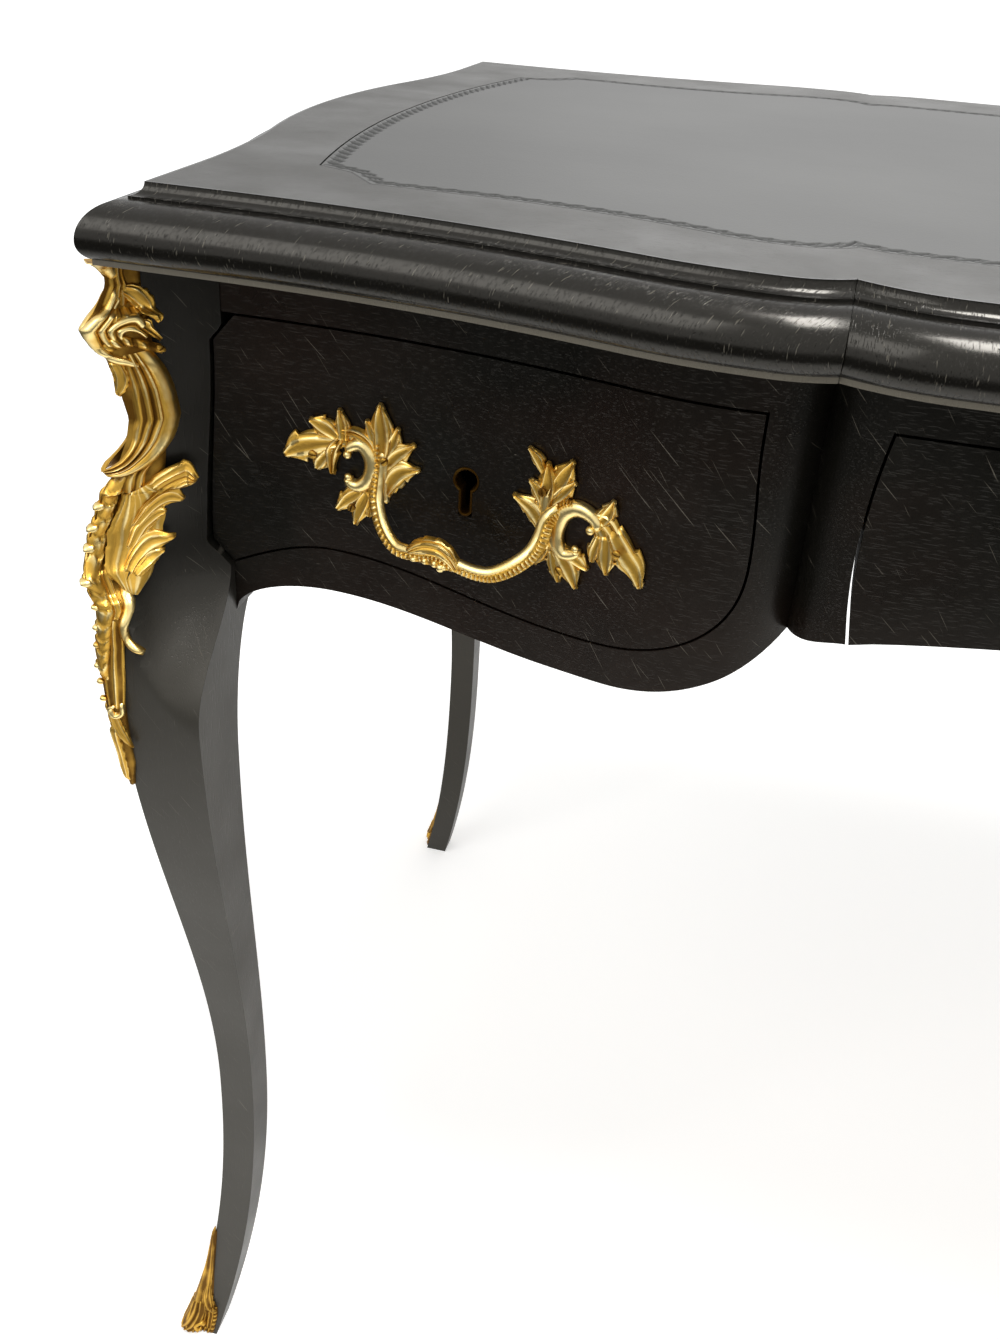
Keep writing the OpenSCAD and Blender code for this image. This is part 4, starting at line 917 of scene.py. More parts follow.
class WRITINGTABLE_OT_fronts(PieceOperator):
    """Shapes the drawer fronts, rails and aprons as one flowing surface"""
    bl_idname = "writingtable.fronts"
    bl_label = "Drawer fronts and aprons"

    def build(self, context, s, finish):
        wood = finish["ebonised_beech_polished"]

        def depth(x):
            return -front_depth(s.apron, x)
        side = self.panel(side_drawer_lines(s), depth, 30)
        centre = self.panel(centre_drawer_lines(s), depth, 26)
        rails = rail_face(s, depth, s.rail_bottom)
        key = self.keyhole(1.3)
        for name, sign in SIDES:
            piece = make_piece(name + "_drawer_face", *turned(solid(*side, -s.front_back), x=sign),
                               name + "_drawer", "black_lacquer", wood,
                               (name + "_drawer_front",), bevel=0.5)
            carve(piece, *self.keyhole_cut(key, -s.lock_x * sign, s.key_z))
            make_piece(name + "_lower_rail_face",
                       *turned(solid(*join(*rails), -(s.front_back - 2)), x=sign),
                       "table_frame", "black_lacquer", wood, (name + "_lower_rail",), bevel=0.4)
        piece = make_piece("centre_drawer_face", *solid(*centre, -s.centre_back), "centre_drawer",
                           "black_lacquer", wood, ("centre_drawer_front",), bevel=0.5)
        carve(piece, *self.keyhole_cut(key, 0, s.centre_key_z))
        across = np.unique(np.concatenate([np.linspace(-s.rail_end, s.rail_end, 360),
                                           [-s.apron.xq, s.apron.xq]]))
        rail = region(across, level(s.rail_bottom), level(s.under), 4, depth)
        piece = make_piece("front_upper_rail_face", *solid(*rail, -(s.apron.cy - 46)),
                           "table_frame", "black_lacquer", wood, ("front_upper_rail",))
        # The lock bolts shoot up into mortises, half a millimetre clear all round
        wide, thick, deep, case_middle = 25, 6, 11, 6
        for x, back in ((-s.lock_x, s.front_back), (0, s.centre_back), (s.lock_x, s.front_back)):
            ring = (np.array([(-1, -1), (1, -1), (1, 1), (-1, 1)]) * (wide, thick) / 2
                    + (x, case_middle - back))
            points = np.concatenate([np.hstack([ring, np.full((4, 1), z)])
                                     for z in (s.rail_bottom - 2, s.rail_bottom + deep)])
            carve(piece, points, closed_tube(2, 4))
        side = self.panel(side_drawer_lines(s), depth, 30, -s.rail_end)
        rail = region(across, level(s.rail_bottom + 0.02), level(s.under), 4, depth)
        self.back(s, wood, (side, join(*rails)), (centre, rail), depth)
        self.ends(s, wood)

    def panel(self, lines, depth, rows, start=-600):
        """Face of a drawer front between its two lines, from start on."""
        low, high = lines
        across = spread(low, high, [[max(start, low[0, 0]), 0]])
        first, last = max(low[0, 0], high[0, 0], start), min(low[-1, 0], high[-1, 0])
        return region(across[(across >= first) & (across <= last)], low, high, rows, depth)

    def back(self, s, wood, paired, single, depth):
        """The back repeats the front: sham panels on a board, standing out a little."""
        stand = 2.5
        edge = lower_edge(s)
        c_low, _ = centre_drawer_lines(s)
        arch = c_low[(c_low[:, 0] > edge[-1, 0]) & (c_low[:, 0] <= 0)]
        half = np.concatenate([edge, arch])
        half = half[np.concatenate([[True], np.diff(half[:, 0]) > 0.01])]
        low = np.concatenate([half, (half[:-1] * (-1, 1))[::-1]])
        board = region(spread(low), low, level(s.under), 6, lambda x: depth(x) + stand)
        faces = [turned(face, x=sign) for face in paired for sign in (1, -1)] + list(single)
        parts = [solid(*board, -(s.front_back - 2))]
        parts += [solid(p, f, p[:, 1] + stand + 0.02) for p, f in faces]
        make_piece("back_apron_face", *turned(join(*parts), y=-1), "table_frame",
                   "black_lacquer", wood, ("back_apron",))

    def ends(self, s, wood):
        """End aprons: the swelling end between two lines, its lower edge two eased
        rises to the legs."""
        reach = s.leg_y + s.post_back
        y = np.linspace(-reach, reach, 150)
        t = np.abs(y) / reach
        low = np.where(t > 0.6, mix(s.under - 150, s.under - 166, ease((t - 0.6) / 0.4)),
                       mix(s.under - 160, s.under - 150, ease(np.minimum(t / 0.6, 1))))
        face = region(y, np.stack([y, low], 1), level(s.under), 24,
                      lambda v: -end_reach(s.apron, v))
        points, faces = solid(*face, -s.rail_end)
        for name, sign in SIDES:
            make_piece(name + "_apron_face", points[:, [1, 0, 2]] * (sign, 1, 1), faces,
                       "table_frame", "black_lacquer", wood, (name + "_apron",), bevel=0.5)

    def keyhole(self, grow):
        """Outline of a keyhole: a circle over a slot, grown by a distance."""
        r, w, low = EYE + grow, SLOT + grow, DROP + grow
        a = math.asin(w / r)
        t = np.linspace(-math.pi / 2 + a, 1.5 * math.pi - a, 29)
        ring = np.stack([r * np.cos(t), r * np.sin(t)], 1)
        return np.concatenate([ring, [[-w, -low], [w, -low]]])

    def keyhole_cut(self, outline, x, z):
        """The outline set at x and z, carried through every drawer front."""
        n = len(outline)
        points = [np.stack([outline[:, 0] + x, np.full(n, y), outline[:, 1] + z], 1)
                  for y in (-300, -200)]
        return np.concatenate(points), closed_tube(2, n)


class WRITINGTABLE_OT_legs(PieceOperator):
    """Shapes the four legs with their posts"""
    bl_idname = "writingtable.legs"
    bl_label = "Cabriole legs"

    def build(self, context, s, finish):
        for corner, (x, y) in CORNERS.items():
            rows = leg_rows(s, corner.startswith("front"))
            points = (rows + (s.leg_x, s.leg_y, 0)).reshape(-1, 3) * (x, y, 1)
            make_piece(corner + "_leg_shaped", points, closed_tube(*rows.shape[:2]),
                       "table_frame", "black_lacquer", finish["ebonised_beech_rubbed"],
                       (corner + "_leg",), angle=42, bevel=1.5, segments=3)


def out_line(s, z, post):
    """Outer line of a leg: an eased curve from toe to ankle to knee to post."""
    ankle, knee, top = 0.318 * s.under, s.under - 193, s.under - 88
    foot = s.ankle_out + (s.toe_out - s.ankle_out) * np.clip((ankle - z) / ankle, 0, 1) ** 2.3
    shin = mix(s.ankle_out, s.knee_out, ease((z - ankle) / (knee - ankle)))
    neck = mix(s.knee_out, post, ease((z - knee) / (top - knee)))
    return np.select([z < ankle, z < knee, z < top], [foot, shin, neck], post)


def in_line(s, z):
    """Inner line of a leg: down from the post to the ankle and out to the foot."""
    ankle, shin = 0.318 * s.under, s.under - 268
    inner = s.ankle_out - s.ankle_width
    foot = inner + (s.toe_out - 20 - inner) * np.clip((ankle - z) / ankle, 0, 1) ** 2.2
    return np.select([z < ankle, z < shin],
                     [foot, mix(inner, s.post_in, ease((z - ankle) / (shin - ankle)))], s.post_in)


def ear_line(s, z):
    """Inner line seen from the end: a quarter round under the end apron."""
    low, top = s.under - 258, s.under - 166
    t = np.clip((z - low) / (top - low), 0, 1)
    return np.where(z < low, in_line(s, z),
                    s.post_in + (s.post_back - s.post_in) * (1 - np.sqrt(1 - t ** 2)))


def hollow_front(s, u, z, limit, grow=0.0):
    """Outer face of a leg towards the front at place u across: the limit, cut by an
    upright hollow that bends outward below the post and fades out at the knee."""
    turn, ring, radius, centre_u, centre_v = math.radians(126.2), 103, 45.1, -12.8, 31.4
    dz = np.minimum(z - (s.under - 118), 0)

    def inside(v):
        p = (u - centre_u) * math.cos(turn) + (v - centre_v) * math.sin(turn)
        q = -(u - centre_u) * math.sin(turn) + (v - centre_v) * math.cos(turn)
        tube = np.hypot(p - ring, dz) - ring
        return (radius - grow) ** 2 - tube ** 2 - q ** 2
    shape = np.shape(u + z)
    low, high = np.full(shape, -60.0), np.broadcast_to(limit, shape).copy()
    open_ = inside(high) > 0
    for _ in range(26):
        mid = (low + high) / 2
        deep = inside(mid) > 0
        high, low = np.where(deep, mid, high), np.where(deep, low, mid)
    fade = ease(np.clip((z - (s.under - 228)) / 76, 0, 1))
    return limit - np.where(open_, limit - low, 0) * fade


def hollow_side(s, v, z, limit, grow=0.0):
    """Outer face of a leg towards the end, cut by a shallow hollow that bends outward."""
    radius, ring, far = 60.1, 398, 80
    dz = np.minimum(z - (s.under - 118), 0)
    q = np.clip(v + 40, -59.9, 59.9)
    w = np.sqrt((radius - grow) ** 2 - q ** 2)
    return np.minimum(limit, far + ring - np.sqrt(np.maximum((ring + w) ** 2 - dz ** 2, 0)))


def leg_corner(s, z, grow=0.0):
    """The leg's outer arris at each height: where its two outer faces meet."""
    ux, vy = out_line(s, z, s.post_out_x) + grow, out_line(s, z, s.post_out_y) + grow
    u, v = ux.copy(), vy.copy()
    for _ in range(12):
        v = hollow_front(s, u, z, vy, grow)
        u = hollow_side(s, v, z, ux, grow)
    return u, v, ux, vy


def leg_rows(s, front):
    """Sections of the back right leg, one row of points round it for each height."""
    z = np.unique(np.concatenate([np.linspace(0, s.under, 150),
                                  np.linspace(s.under - 170, s.under - 20, 60)]))
    u_end, v_end, ux, vy = leg_corner(s, z)
    inner, ear = in_line(s, z), ear_line(s, z)
    edge = inner.copy()
    if front:
        low, high = side_drawer_lines(s, s.drawer_gap)
        line = np.concatenate([low[1:2], high[:10]])
        line = line[np.argsort(line[:, 1])]
        face = -np.interp(z, line[:, 1], line[:, 0], left=-s.rail_end, right=-s.rail_end)
        cut = (z > line[0, 1]) & (z < s.rail_bottom)
        edge = np.where(cut, np.maximum(inner, face - s.leg_x), inner)
    shelf = np.maximum(ear, s.front_back - s.drawer_gap - s.leg_y)
    t = np.linspace(0, 1, 19)[None, :]
    Z = z[:, None]
    ub = mix(edge[:, None], u_end[:, None], t)
    vb = hollow_front(s, ub, Z + 0 * ub, vy[:, None])
    vb[:, -1] = v_end
    va = mix(v_end[:, None], ear[:, None], np.linspace(0, 1, 15)[None, 1:])
    ua = hollow_side(s, va, Z + 0 * va, ux[:, None])
    back = mix(ua[:, -1:], inner[:, None], np.linspace(0, 1, 7)[None, 1:])
    w = np.linspace(0, 1, 5)[None, 1:]
    rise = mix(ear[:, None], shelf[:, None], w)
    shelf_u = mix(inner[:, None], edge[:, None], w)
    wall = mix(shelf[:, None], vb[:, :1], w)[:, :-1]

    def stack(u, v):
        u, v = np.broadcast_arrays(u, v)
        return np.stack([u, v, np.broadcast_to(Z, u.shape)], -1)
    return np.concatenate([
        stack(ub, vb), stack(ua, va), stack(back, ear[:, None]), stack(inner[:, None], rise),
        stack(shelf_u, shelf[:, None]), stack(edge[:, None], wall)], axis=1)


# ---------------------------------------------------------------- brass


def smooth(values, n):
    """n places on the even curve that passes through the given ones."""
    p = np.asarray(values, float).reshape(len(values), -1)
    p = np.vstack([2 * p[0] - p[1], p, 2 * p[-1] - p[-2]])
    t = np.linspace(0, len(values) - 1, n)
    i = np.minimum(t.astype(int), len(values) - 2)
    f = (t - i)[:, None]
    a, b, c, d = p[i], p[i + 1], p[i + 2], p[i + 3]
    return (b + f * (c - a) / 2 + f ** 2 * (2 * a - 5 * b + 4 * c - d) / 2
            + f ** 3 * (3 * (b - c) + d - a) / 2)


def chasing(kind, t, c, n):
    """Height of the chased lines, 0 to 1, at t along and c across a form."""
    v = np.abs(c)
    if kind == "leaf":
        return ((1 - 0.55 * np.exp(-(v / 0.1) ** 2))
                * (0.76 + 0.24 * np.cos(2 * np.pi * (2.4 * v + 0.5 * (1 - t) * v - 0.2))))
    if kind == "flute":
        return 0.5 - 0.5 * np.cos(np.pi * n * (c + 1)) + 0 * t
    if kind == "husk":
        f = (n * t + 0.55 * v) % 1
        return 0.2 + 0.8 * np.sqrt(1 - f) * (1 - 0.35 * np.exp(-(v / 0.15) ** 2))
    if kind == "scroll":
        ribs = 0.5 - 0.5 * np.cos(2 * np.pi * (c + 1) * 2.6)
        return np.where(c < 0.15, ribs, 0.85 + 0.15 * np.cos(6 * (c - 0.6))) + 0 * t
    if kind == "panel":
        return (0.15 + 0.85 * np.exp(-(c / 0.16) ** 2)
                + 0.8 * np.exp(-((v - 0.86) / 0.12) ** 2) + 0 * t)
    if kind == "bow":
        beads = 0.62 + 0.38 * np.cos(2 * np.pi * n * t)
        return np.where(c < 0, beads, 1.0) * (1 - 0.6 * np.exp(-((c - 0.05) / 0.16) ** 2))
    if kind == "beads":
        return 0.5 + 0.5 * np.cos(2 * np.pi * n * t) + 0 * c
    return np.ones(np.broadcast_shapes(t.shape, c.shape))


def blade(place, spine, half, rise, kind="round", n=5, lobes=0.0, lift=(0.4, 0.4),
          under=0.9, rows=30, cols=15, fat=1.0):
    """A leaf, rib or scroll as one closed form.

    Its spine is a curve on a surface, half its half widths along it, rise the height
    of its dome and lift that of its edges. The face is lift + rise * root(1 - c^2) *
    (0.4 + 0.6 * chasing), the back lift - under * root(1 - c^2); lobes cut the edges
    n times and fat widens it. place turns across, up and height into a point.
    """
    t = np.linspace(0, 1, rows)[:, None]
    c = np.sin(np.linspace(-1, 1, cols) * np.pi / 2)[None, :]
    line = smooth(spine, rows)
    along = np.gradient(line, axis=0)
    side = np.stack([-along[:, 1], along[:, 0]], -1)
    side /= np.maximum(np.linalg.norm(side, axis=1, keepdims=True), 1e-9)
    cut = 1 - lobes * ((n * t + 0.25 * np.abs(c)) % 1) ** 1.5 * np.abs(c) ** 3
    reach = np.maximum(smooth(half, rows) * fat, 0.25) * cut * c
    ends = np.sqrt(np.clip(np.minimum(t * 12, (1 - t) * 16), 0.04, 1))
    dome = np.sqrt(1 - 0.98 * c ** 2)
    shape = chasing(kind, t, c, n)
    up = smooth(lift, rows)
    face = up + rise * ends * dome * (0.4 + 0.6 * shape)
    points, faces = sheet(place, line[:, :1] + reach * side[:, :1],
                          line[:, 1:] + reach * side[:, 1:], face, up - under * ends * dome)
    worn = np.clip(shape * (0.35 + 0.65 * dome) + 0.3 * np.abs(c) ** 8, 0, 1)
    return points, faces, np.hstack([worn, 0 * worn + 0.25]).ravel()


def bead(place, a, b, h, r, squash=1.0):
    """A round bead: a sphere in turns and heights, its poles closed by small faces."""
    heights, turns, pole = 9, 14, 0.12
    v, w = np.meshgrid(np.linspace(pole, np.pi - pole, heights),
                       np.linspace(0, 2 * np.pi, turns, endpoint=False), indexing="ij")
    points = place(a + r * np.sin(v) * np.cos(w), b + r * np.sin(v) * np.sin(w),
                   h + r * squash * np.cos(v)).reshape(-1, 3)
    worn = np.clip(0.75 + 0.25 * np.cos(v), 0, 1)
    return points, closed_tube(heights, turns), worn.ravel()


def slotted(place, a, b, h, r, turn):
    """A domed screw head with a driver's slot: radius by angle, the slot sunk across."""
    rings, turns = 9, 40
    q, w = np.meshgrid(np.linspace(1, 0.03, rings),
                       np.linspace(0, 2 * np.pi, turns, endpoint=False), indexing="ij")
    across = q * np.sin(w - turn)
    top = 0.35 * r * np.sqrt(1.02 - q ** 2) - 0.3 * r * np.exp(-(across / 0.16) ** 4)
    sides = np.vstack([np.ones((1, turns)), q])
    height = np.vstack([np.full((1, turns), -0.8 * r), top])
    w = np.vstack([w[:1], w])
    points = place(a + r * sides * np.cos(w), b + r * sides * np.sin(w),
                   h + height).reshape(-1, 3)
    worn = np.vstack([np.full((1, turns), 0.05), 0.28 - 0.3 * np.exp(-(across / 0.2) ** 4)])
    return points, closed_tube(rings + 1, turns), worn.ravel()


def cast(forms):
    """Points, faces and relief of several forms as one."""
    points, faces = join(*[(p, f) for p, f, _ in forms])
    return points, faces, np.concatenate([r for _, _, r in forms])


# Millimetres, and columns, of a corner's chart on each side of its keel
SKIN_HALF = 44


def by_height(table, z):
    """Value at height z of a table of (height, value) that runs downward."""
    heights, values = np.array(table, float).T
    return np.interp(-np.asarray(z), -heights, values)


def on_front(s, x, z, h):
    """Points on the left drawer's face: x across from its keyhole, z up from the underside
    of the top, h out."""
    x, z, h = np.broadcast_arrays(x - s.lock_x, z + s.under, h)
    return np.stack([x, -front_depth(s.apron, x) - h, z], -1)


def corner_skin(s, z, ridge, reach):
    """The outer corner of the back right leg, with a keel on its arris, as a chart.

    At each height z a section runs from the end face over the keel to the front
    face: the keel stands ridge out of the arris on the diagonal, and its slightly
    bulging flanks meet the faces reach away from the arris. Columns are 1 mm apart.
    """
    u0, v0, ux, vy = leg_corner(s, z)
    t = np.linspace(0, SKIN_HALF, 2 * SKIN_HALF + 1)[None, :]
    Z = z[:, None] + 0 * t
    ub, va = u0[:, None] - t, v0[:, None] - t
    vb = hollow_front(s, ub, Z, vy[:, None])
    ua = hollow_side(s, va, Z, ux[:, None])
    vb[:, 0], ua[:, 0] = v0, u0
    h, w = by_height(ridge, z - s.under), by_height(reach, z - s.under)
    keel = np.stack([u0 + h * 0.707, v0 + h * 0.707], -1)
    k = np.linspace(0, 1, 12)[:, None]
    places = np.arange(0.0, SKIN_HALF + 1)

    def section(start, face, width):
        d = run_lengths(face)
        foot = np.array([np.interp(width, d, face[:, 0]), np.interp(width, d, face[:, 1])])
        way = foot - start
        out = np.array([way[1], -way[0]])
        out = out if out @ (1, 1) > 0 else -out
        line = np.concatenate([start + way * k + out * 0.48 * k * (1 - k),
                               face[d > width + 0.3]])
        e = run_lengths(line)
        return np.stack([np.interp(places, e, line[:, 0]), np.interp(places, e, line[:, 1])], -1)
    ahead, aside = (np.stack([section(*q) for q in zip(keel, np.stack(face, -1), w)])
                    for face in ((ub, vb), (ua, va)))
    outline = np.concatenate([aside[:, :0:-1], ahead], axis=1)
    g = np.gradient(outline, axis=1)
    normal = np.stack([g[..., 1], -g[..., 0]], -1)
    normal /= np.linalg.norm(normal, axis=-1, keepdims=True)
    # Directions are evened out over 11 columns, or leaves would fold at the keel's foot
    blur = np.hanning(13)[1:-1]
    edge = np.pad(normal, ((0, 0), (5, 5), (0, 0)), mode="edge")
    normal = sum(b * edge[:, i:i + normal.shape[1]] for i, b in enumerate(blur))
    normal /= np.linalg.norm(normal, axis=-1, keepdims=True)
    normal *= np.sign(normal[len(z) // 2, SKIN_HALF] @ (1, 1))
    return SimpleNamespace(z=z, grid=np.concatenate([outline, normal], -1),
                           base=(s.leg_x, s.leg_y), under=s.under)


def on_skin(skin, a, z, h):
    """Points at a across the skin's keel, z up from the underside of the top, h out."""
    a, z, h = np.broadcast_arrays(a, z + skin.under, h)
    i = np.clip((z - skin.z[0]) / (skin.z[1] - skin.z[0]), 0, len(skin.z) - 1.001)
    j = np.clip(a + SKIN_HALF, 0, 2 * SKIN_HALF - 0.001)
    i0, j0 = i.astype(int), j.astype(int)
    fi, fj = (i - i0)[..., None], (j - j0)[..., None]
    g = skin.grid
    q = ((g[i0, j0] * (1 - fj) + g[i0, j0 + 1] * fj) * (1 - fi)
         + (g[i0 + 1, j0] * (1 - fj) + g[i0 + 1, j0 + 1] * fj) * fi)
    return np.stack([q[..., 0] + q[..., 2] * h + skin.base[0],
                     q[..., 1] + q[..., 3] * h + skin.base[1],
                     np.clip(z, 0.3, skin.under - 0.4)], -1)


class BrassOperator(PieceOperator):
    """Common to the brass pieces."""

    def cast_piece(self, node, suffix, part, body, slot, material, angle=50, turn=(1, 1)):
        """One cast or turned piece that stands for a node, mirrored by the signs of turn."""
        points, faces, relief = part
        make_piece(node + suffix, points * (*turn, 1), faces, body, slot, material, (node,),
                   {"relief": relief}, angle=angle)

    def corners(self, finish, suffix, part):
        """The same casting at all four corners."""
        for corner, turn in CORNERS.items():
            self.cast_piece(corner + suffix, "_cast", part, "table_frame", "gilt_brass",
                            finish["gilt_brass_cast"], turn=turn)


# The corner mount's keel: heights under the top, with how far it stands out of the arris
# and how far its flanks reach from it
RIDGE = ((0, 15), (-12, 15), (-30, 25), (-42, 18), (-58, 13), (-72, 10), (-82, 12), (-94, 17),
         (-106, 24), (-116, 26), (-126, 27), (-140, 23), (-160, 9), (-178, 6), (-196, 5),
         (-232, 4), (-252, 2), (-270, 1))
REACH = ((0, 8), (-12, 8), (-30, 9), (-42, 10), (-58, 11), (-72, 12), (-116, 12), (-126, 11),
         (-140, 9), (-160, 7), (-178, 6), (-216, 6), (-232, 5), (-252, 4), (-270, 3))


def mount_skin(s):
    """Chart of the corner above the knee, for the mount and its screws."""
    return corner_skin(s, np.arange(s.under - 290, s.under + 0.5, 2), RIDGE, REACH)


def foot_skin(s, ridge, reach):
    """Chart of the corner at the foot; heights in the tables are above the floor."""
    low = -s.under
    return corner_skin(s, np.arange(0.0, 121, 2), [(low + z, v) for z, v in ridge],
                       [(low + z, v) for z, v in reach])


class WRITINGTABLE_OT_mounts(BrassOperator):
    """Casts the leafy mounts of the four corners"""
    bl_idname = "writingtable.mounts"
    bl_label = "Corner mounts"

    def build(self, context, s, finish):
        skin = mount_skin(s)
        forms = [self.shell(skin)]
        for sign in (1, -1):
            def place(a, z, h):
                # The two halves differ by a hair, so that no points of both coincide
                return on_skin(skin, sign * a, z + 0.006 * sign, h)
            forms += self.crest(place) + self.scroll(place) + self.foliage(place)
            forms += self.tail(place)
        for z in (-112, -122, -131, -145, -158, -168, -177, -188, -197, -207):
            forms.append(bead(partial(on_skin, skin), 0, z, 2.2, 2.0 if z > -150 else 1.5))
        self.corners(finish, "_mount", cast(forms))

    def shell(self, skin):
        """The plain body that all leaves stand on, from the top to the tail."""
        z = np.linspace(-262, -1, 110)[:, None]
        wide = np.hypot(by_height(RIDGE, z), by_height(REACH, z)) + 1.0
        wide *= np.clip((z + 268) / 20, 0.15, 1)
        c = np.linspace(-1, 1, 41)[None, :]
        face = 0.9 - 1.6 * np.abs(c) ** 10 + 0 * z
        # Off the keel by a hair, or points of its two sides would coincide behind it
        a = wide * c + 0.03
        points, faces = sheet(partial(on_skin, skin), a, z + 0 * a, face, -2.06 + 0 * face)
        return points, faces, np.full(len(points), 0.16)

    def crest(self, place):
        """The shell at the top, its ribs and the curls round it."""
        form = partial(blade, place)
        return [
            form([(0, -1), (0.5, -2.5), (2, -5), (4.5, -9)], [0.9, 1.7, 2.4, 2.6], 1.6,
                 lift=[9, 5, 2, 0.6], rows=16, cols=9),
            form([(5, -3), (5, -9), (6, -14), (8, -19)], [3.4, 4, 5, 7], 2.6, "flute", 3),
            form([(8, -14), (12, -20), (15, -27)], [4, 8, 10], 2.0, "flute", 5),
            form([(8, -14), (13, -15.5), (18, -18), (24, -22), (27, -27)], [2, 3.6, 4.2, 3.4, 0.8],
                 2.4, "leaf", 6, 0.15, lift=[0.6, 1, 2, 3.5, 6]),
            form([(4, -13), (5, -20), (3, -26), (1.5, -31), (0, -38), (3, -43)],
                 [1.2, 2, 2.3, 2.3, 2.2, 1.4], 3.2, lift=[0.5, 1, 1.5, 1.5, 1, 0.5]),
            form([(9, -17), (8, -23), (6.5, -28), (5, -33), (5, -38)], [1.2, 1.7, 1.9, 1.7, 1.2],
                 2.6),
            form([(8, -36), (10, -29), (14, -26), (19, -26), (24, -30)], [1.2, 1.8, 2, 1.8, 1.4],
                 2.8),
            form([(11, -35), (13, -31), (16.5, -29.5), (20.5, -31), (22, -35)],
                 [1, 1.5, 1.6, 1.5, 1], 2.6, rows=20),
            form([(21, -27), (25, -30), (28, -37)], [1.5, 3.2, 1.5], 2.2, "leaf", 5, 0.3, rows=20),
            form([(2, -39), (7, -36.5), (11, -35), (15, -36), (19.5, -38), (25.5, -41)],
                 [1.9, 2.4, 2.8, 2.6, 2.6, 2.6], 3.4, "beads", 4),
            form([(1, -42), (4, -44), (8, -45), (12, -47)], [1.5, 2, 2, 1.4], 2.4, rows=20),
            form([(3, -45), (3, -52), (0, -61)], [3.2, 3.4, 0.6], 1.8, "leaf", 6, 0.4,
                 lift=[0.4, 0.4, 2], rows=24),
        ]

    def scroll(self, place):
        """The ribbed cartouche and the fluted stem under it."""
        form = partial(blade, place)
        return [
            form([(13, -41), (14.5, -52), (14, -64), (12.5, -76), (10, -85), (6, -91), (0.5, -96)],
                 [7, 9.5, 10.5, 10.5, 8.5, 5.5, 1.2], 3.2, "scroll", 5,
                 lift=[0.5, 0.6, 0.8, 0.8, 1, 3, 7], rows=46, cols=41),
            form([(13, -86), (11, -92), (10, -98), (14, -107), (17, -116)], [4, 4.2, 4.4, 4, 3],
                 2.4, "flute", 2),
        ]

    def foliage(self, place):
        """Spreading leaves with their lobes, the arm and the husks below the scroll."""
        form = partial(blade, place)
        return [
            form([(17, -124), (20, -112), (25, -105), (33, -102), (43, -103)], [4, 7.5, 9, 8, 1.6],
                 3.4, "leaf", 4, 0.12, lift=[0.5, 0.6, 1.2, 3.5, 7], rows=40, cols=21),
            form([(13, -104), (20, -116), (22, -130), (21, -142), (18, -154)], [4, 13, 15, 13, 2],
                 1.6, "leaf", 5, 0.06, lift=(3.2, 3.2), rows=50, cols=31),
            form([(21, -126), (27, -116), (34, -111.5), (41.5, -113)], [3, 5.4, 5.6, 1], 2.6,
                 "leaf", 4, 0.2, lift=[3.6, 3.8, 3.6, 4.4]),
            form([(20, -136), (25, -126), (31, -120), (36, -119)], [3, 5.5, 5, 1], 2.2, "leaf", 4,
                 0.2, lift=[3.4, 3.6, 3.4, 3.8]),
            form([(21, -145), (26, -137), (32, -132.5), (42, -131)], [3.4, 6, 5.4, 1], 2.6, "leaf",
                 4, 0.15, lift=[3.6, 3.8, 3.6, 4.4]),
            form([(23, -146), (29, -141), (33, -138.5), (38, -137)], [2.6, 4.4, 4.2, 1], 2.2,
                 "leaf", 4, 0.2, lift=[3.4, 3.6, 3.4, 3.4]),
            form([(24, -140), (17, -152), (11.5, -164), (12.5, -173), (20.5, -180)],
                 [3.2, 2.7, 2.3, 2.2, 1.2], 3, lift=[0.6, 0.8, 0.8, 1, 3]),
            form([(3, -99), (4.5, -112), (4.5, -126), (4, -142), (3.5, -156), (3, -170),
                  (2.4, -182), (1.8, -196)], [3.4, 4.6, 4.8, 4.4, 3.8, 3.2, 2.6, 1.8], 3.4, "husk",
                 13, 0.2, rows=90),
            form([(13, -108), (14, -120), (13.5, -134), (12, -148)], [3, 4, 4, 3], 2.8, "husk", 7,
                 0.25, rows=56),
            form([(10, -142), (9, -152), (7.5, -164)], [3, 3, 2], 2, "leaf", 6, 0.3),
        ]

    def tail(self, place):
        """The long panel down the leg, its curl, and the leaves that end it."""
        form = partial(blade, place)
        return [
            form([(6.5, -164), (6.5, -184), (5.5, -200), (4.5, -213)], [4.6, 5.2, 4.8, 3.6], 1.8,
                 "panel", 1, rows=36, cols=25),
            form([(7, -209), (6.5, -215), (3, -217), (1.8, -213), (4, -210.5)],
                 [1.2, 1.5, 1.5, 1.2, 0.8], 2.4, rows=24, cols=9),
            form([(2.5, -215), (4, -226), (8.5, -236)], [2.6, 3.2, 0.7], 2, "leaf", 5, 0.3,
                 lift=[0.5, 0.5, 2.5]),
            form([(1, -224), (0.6, -240), (1, -258)], [2.6, 2.8, 0.6], 2, "leaf", 6, 0.3,
                 lift=[0.5, 0.5, 1.5]),
        ]


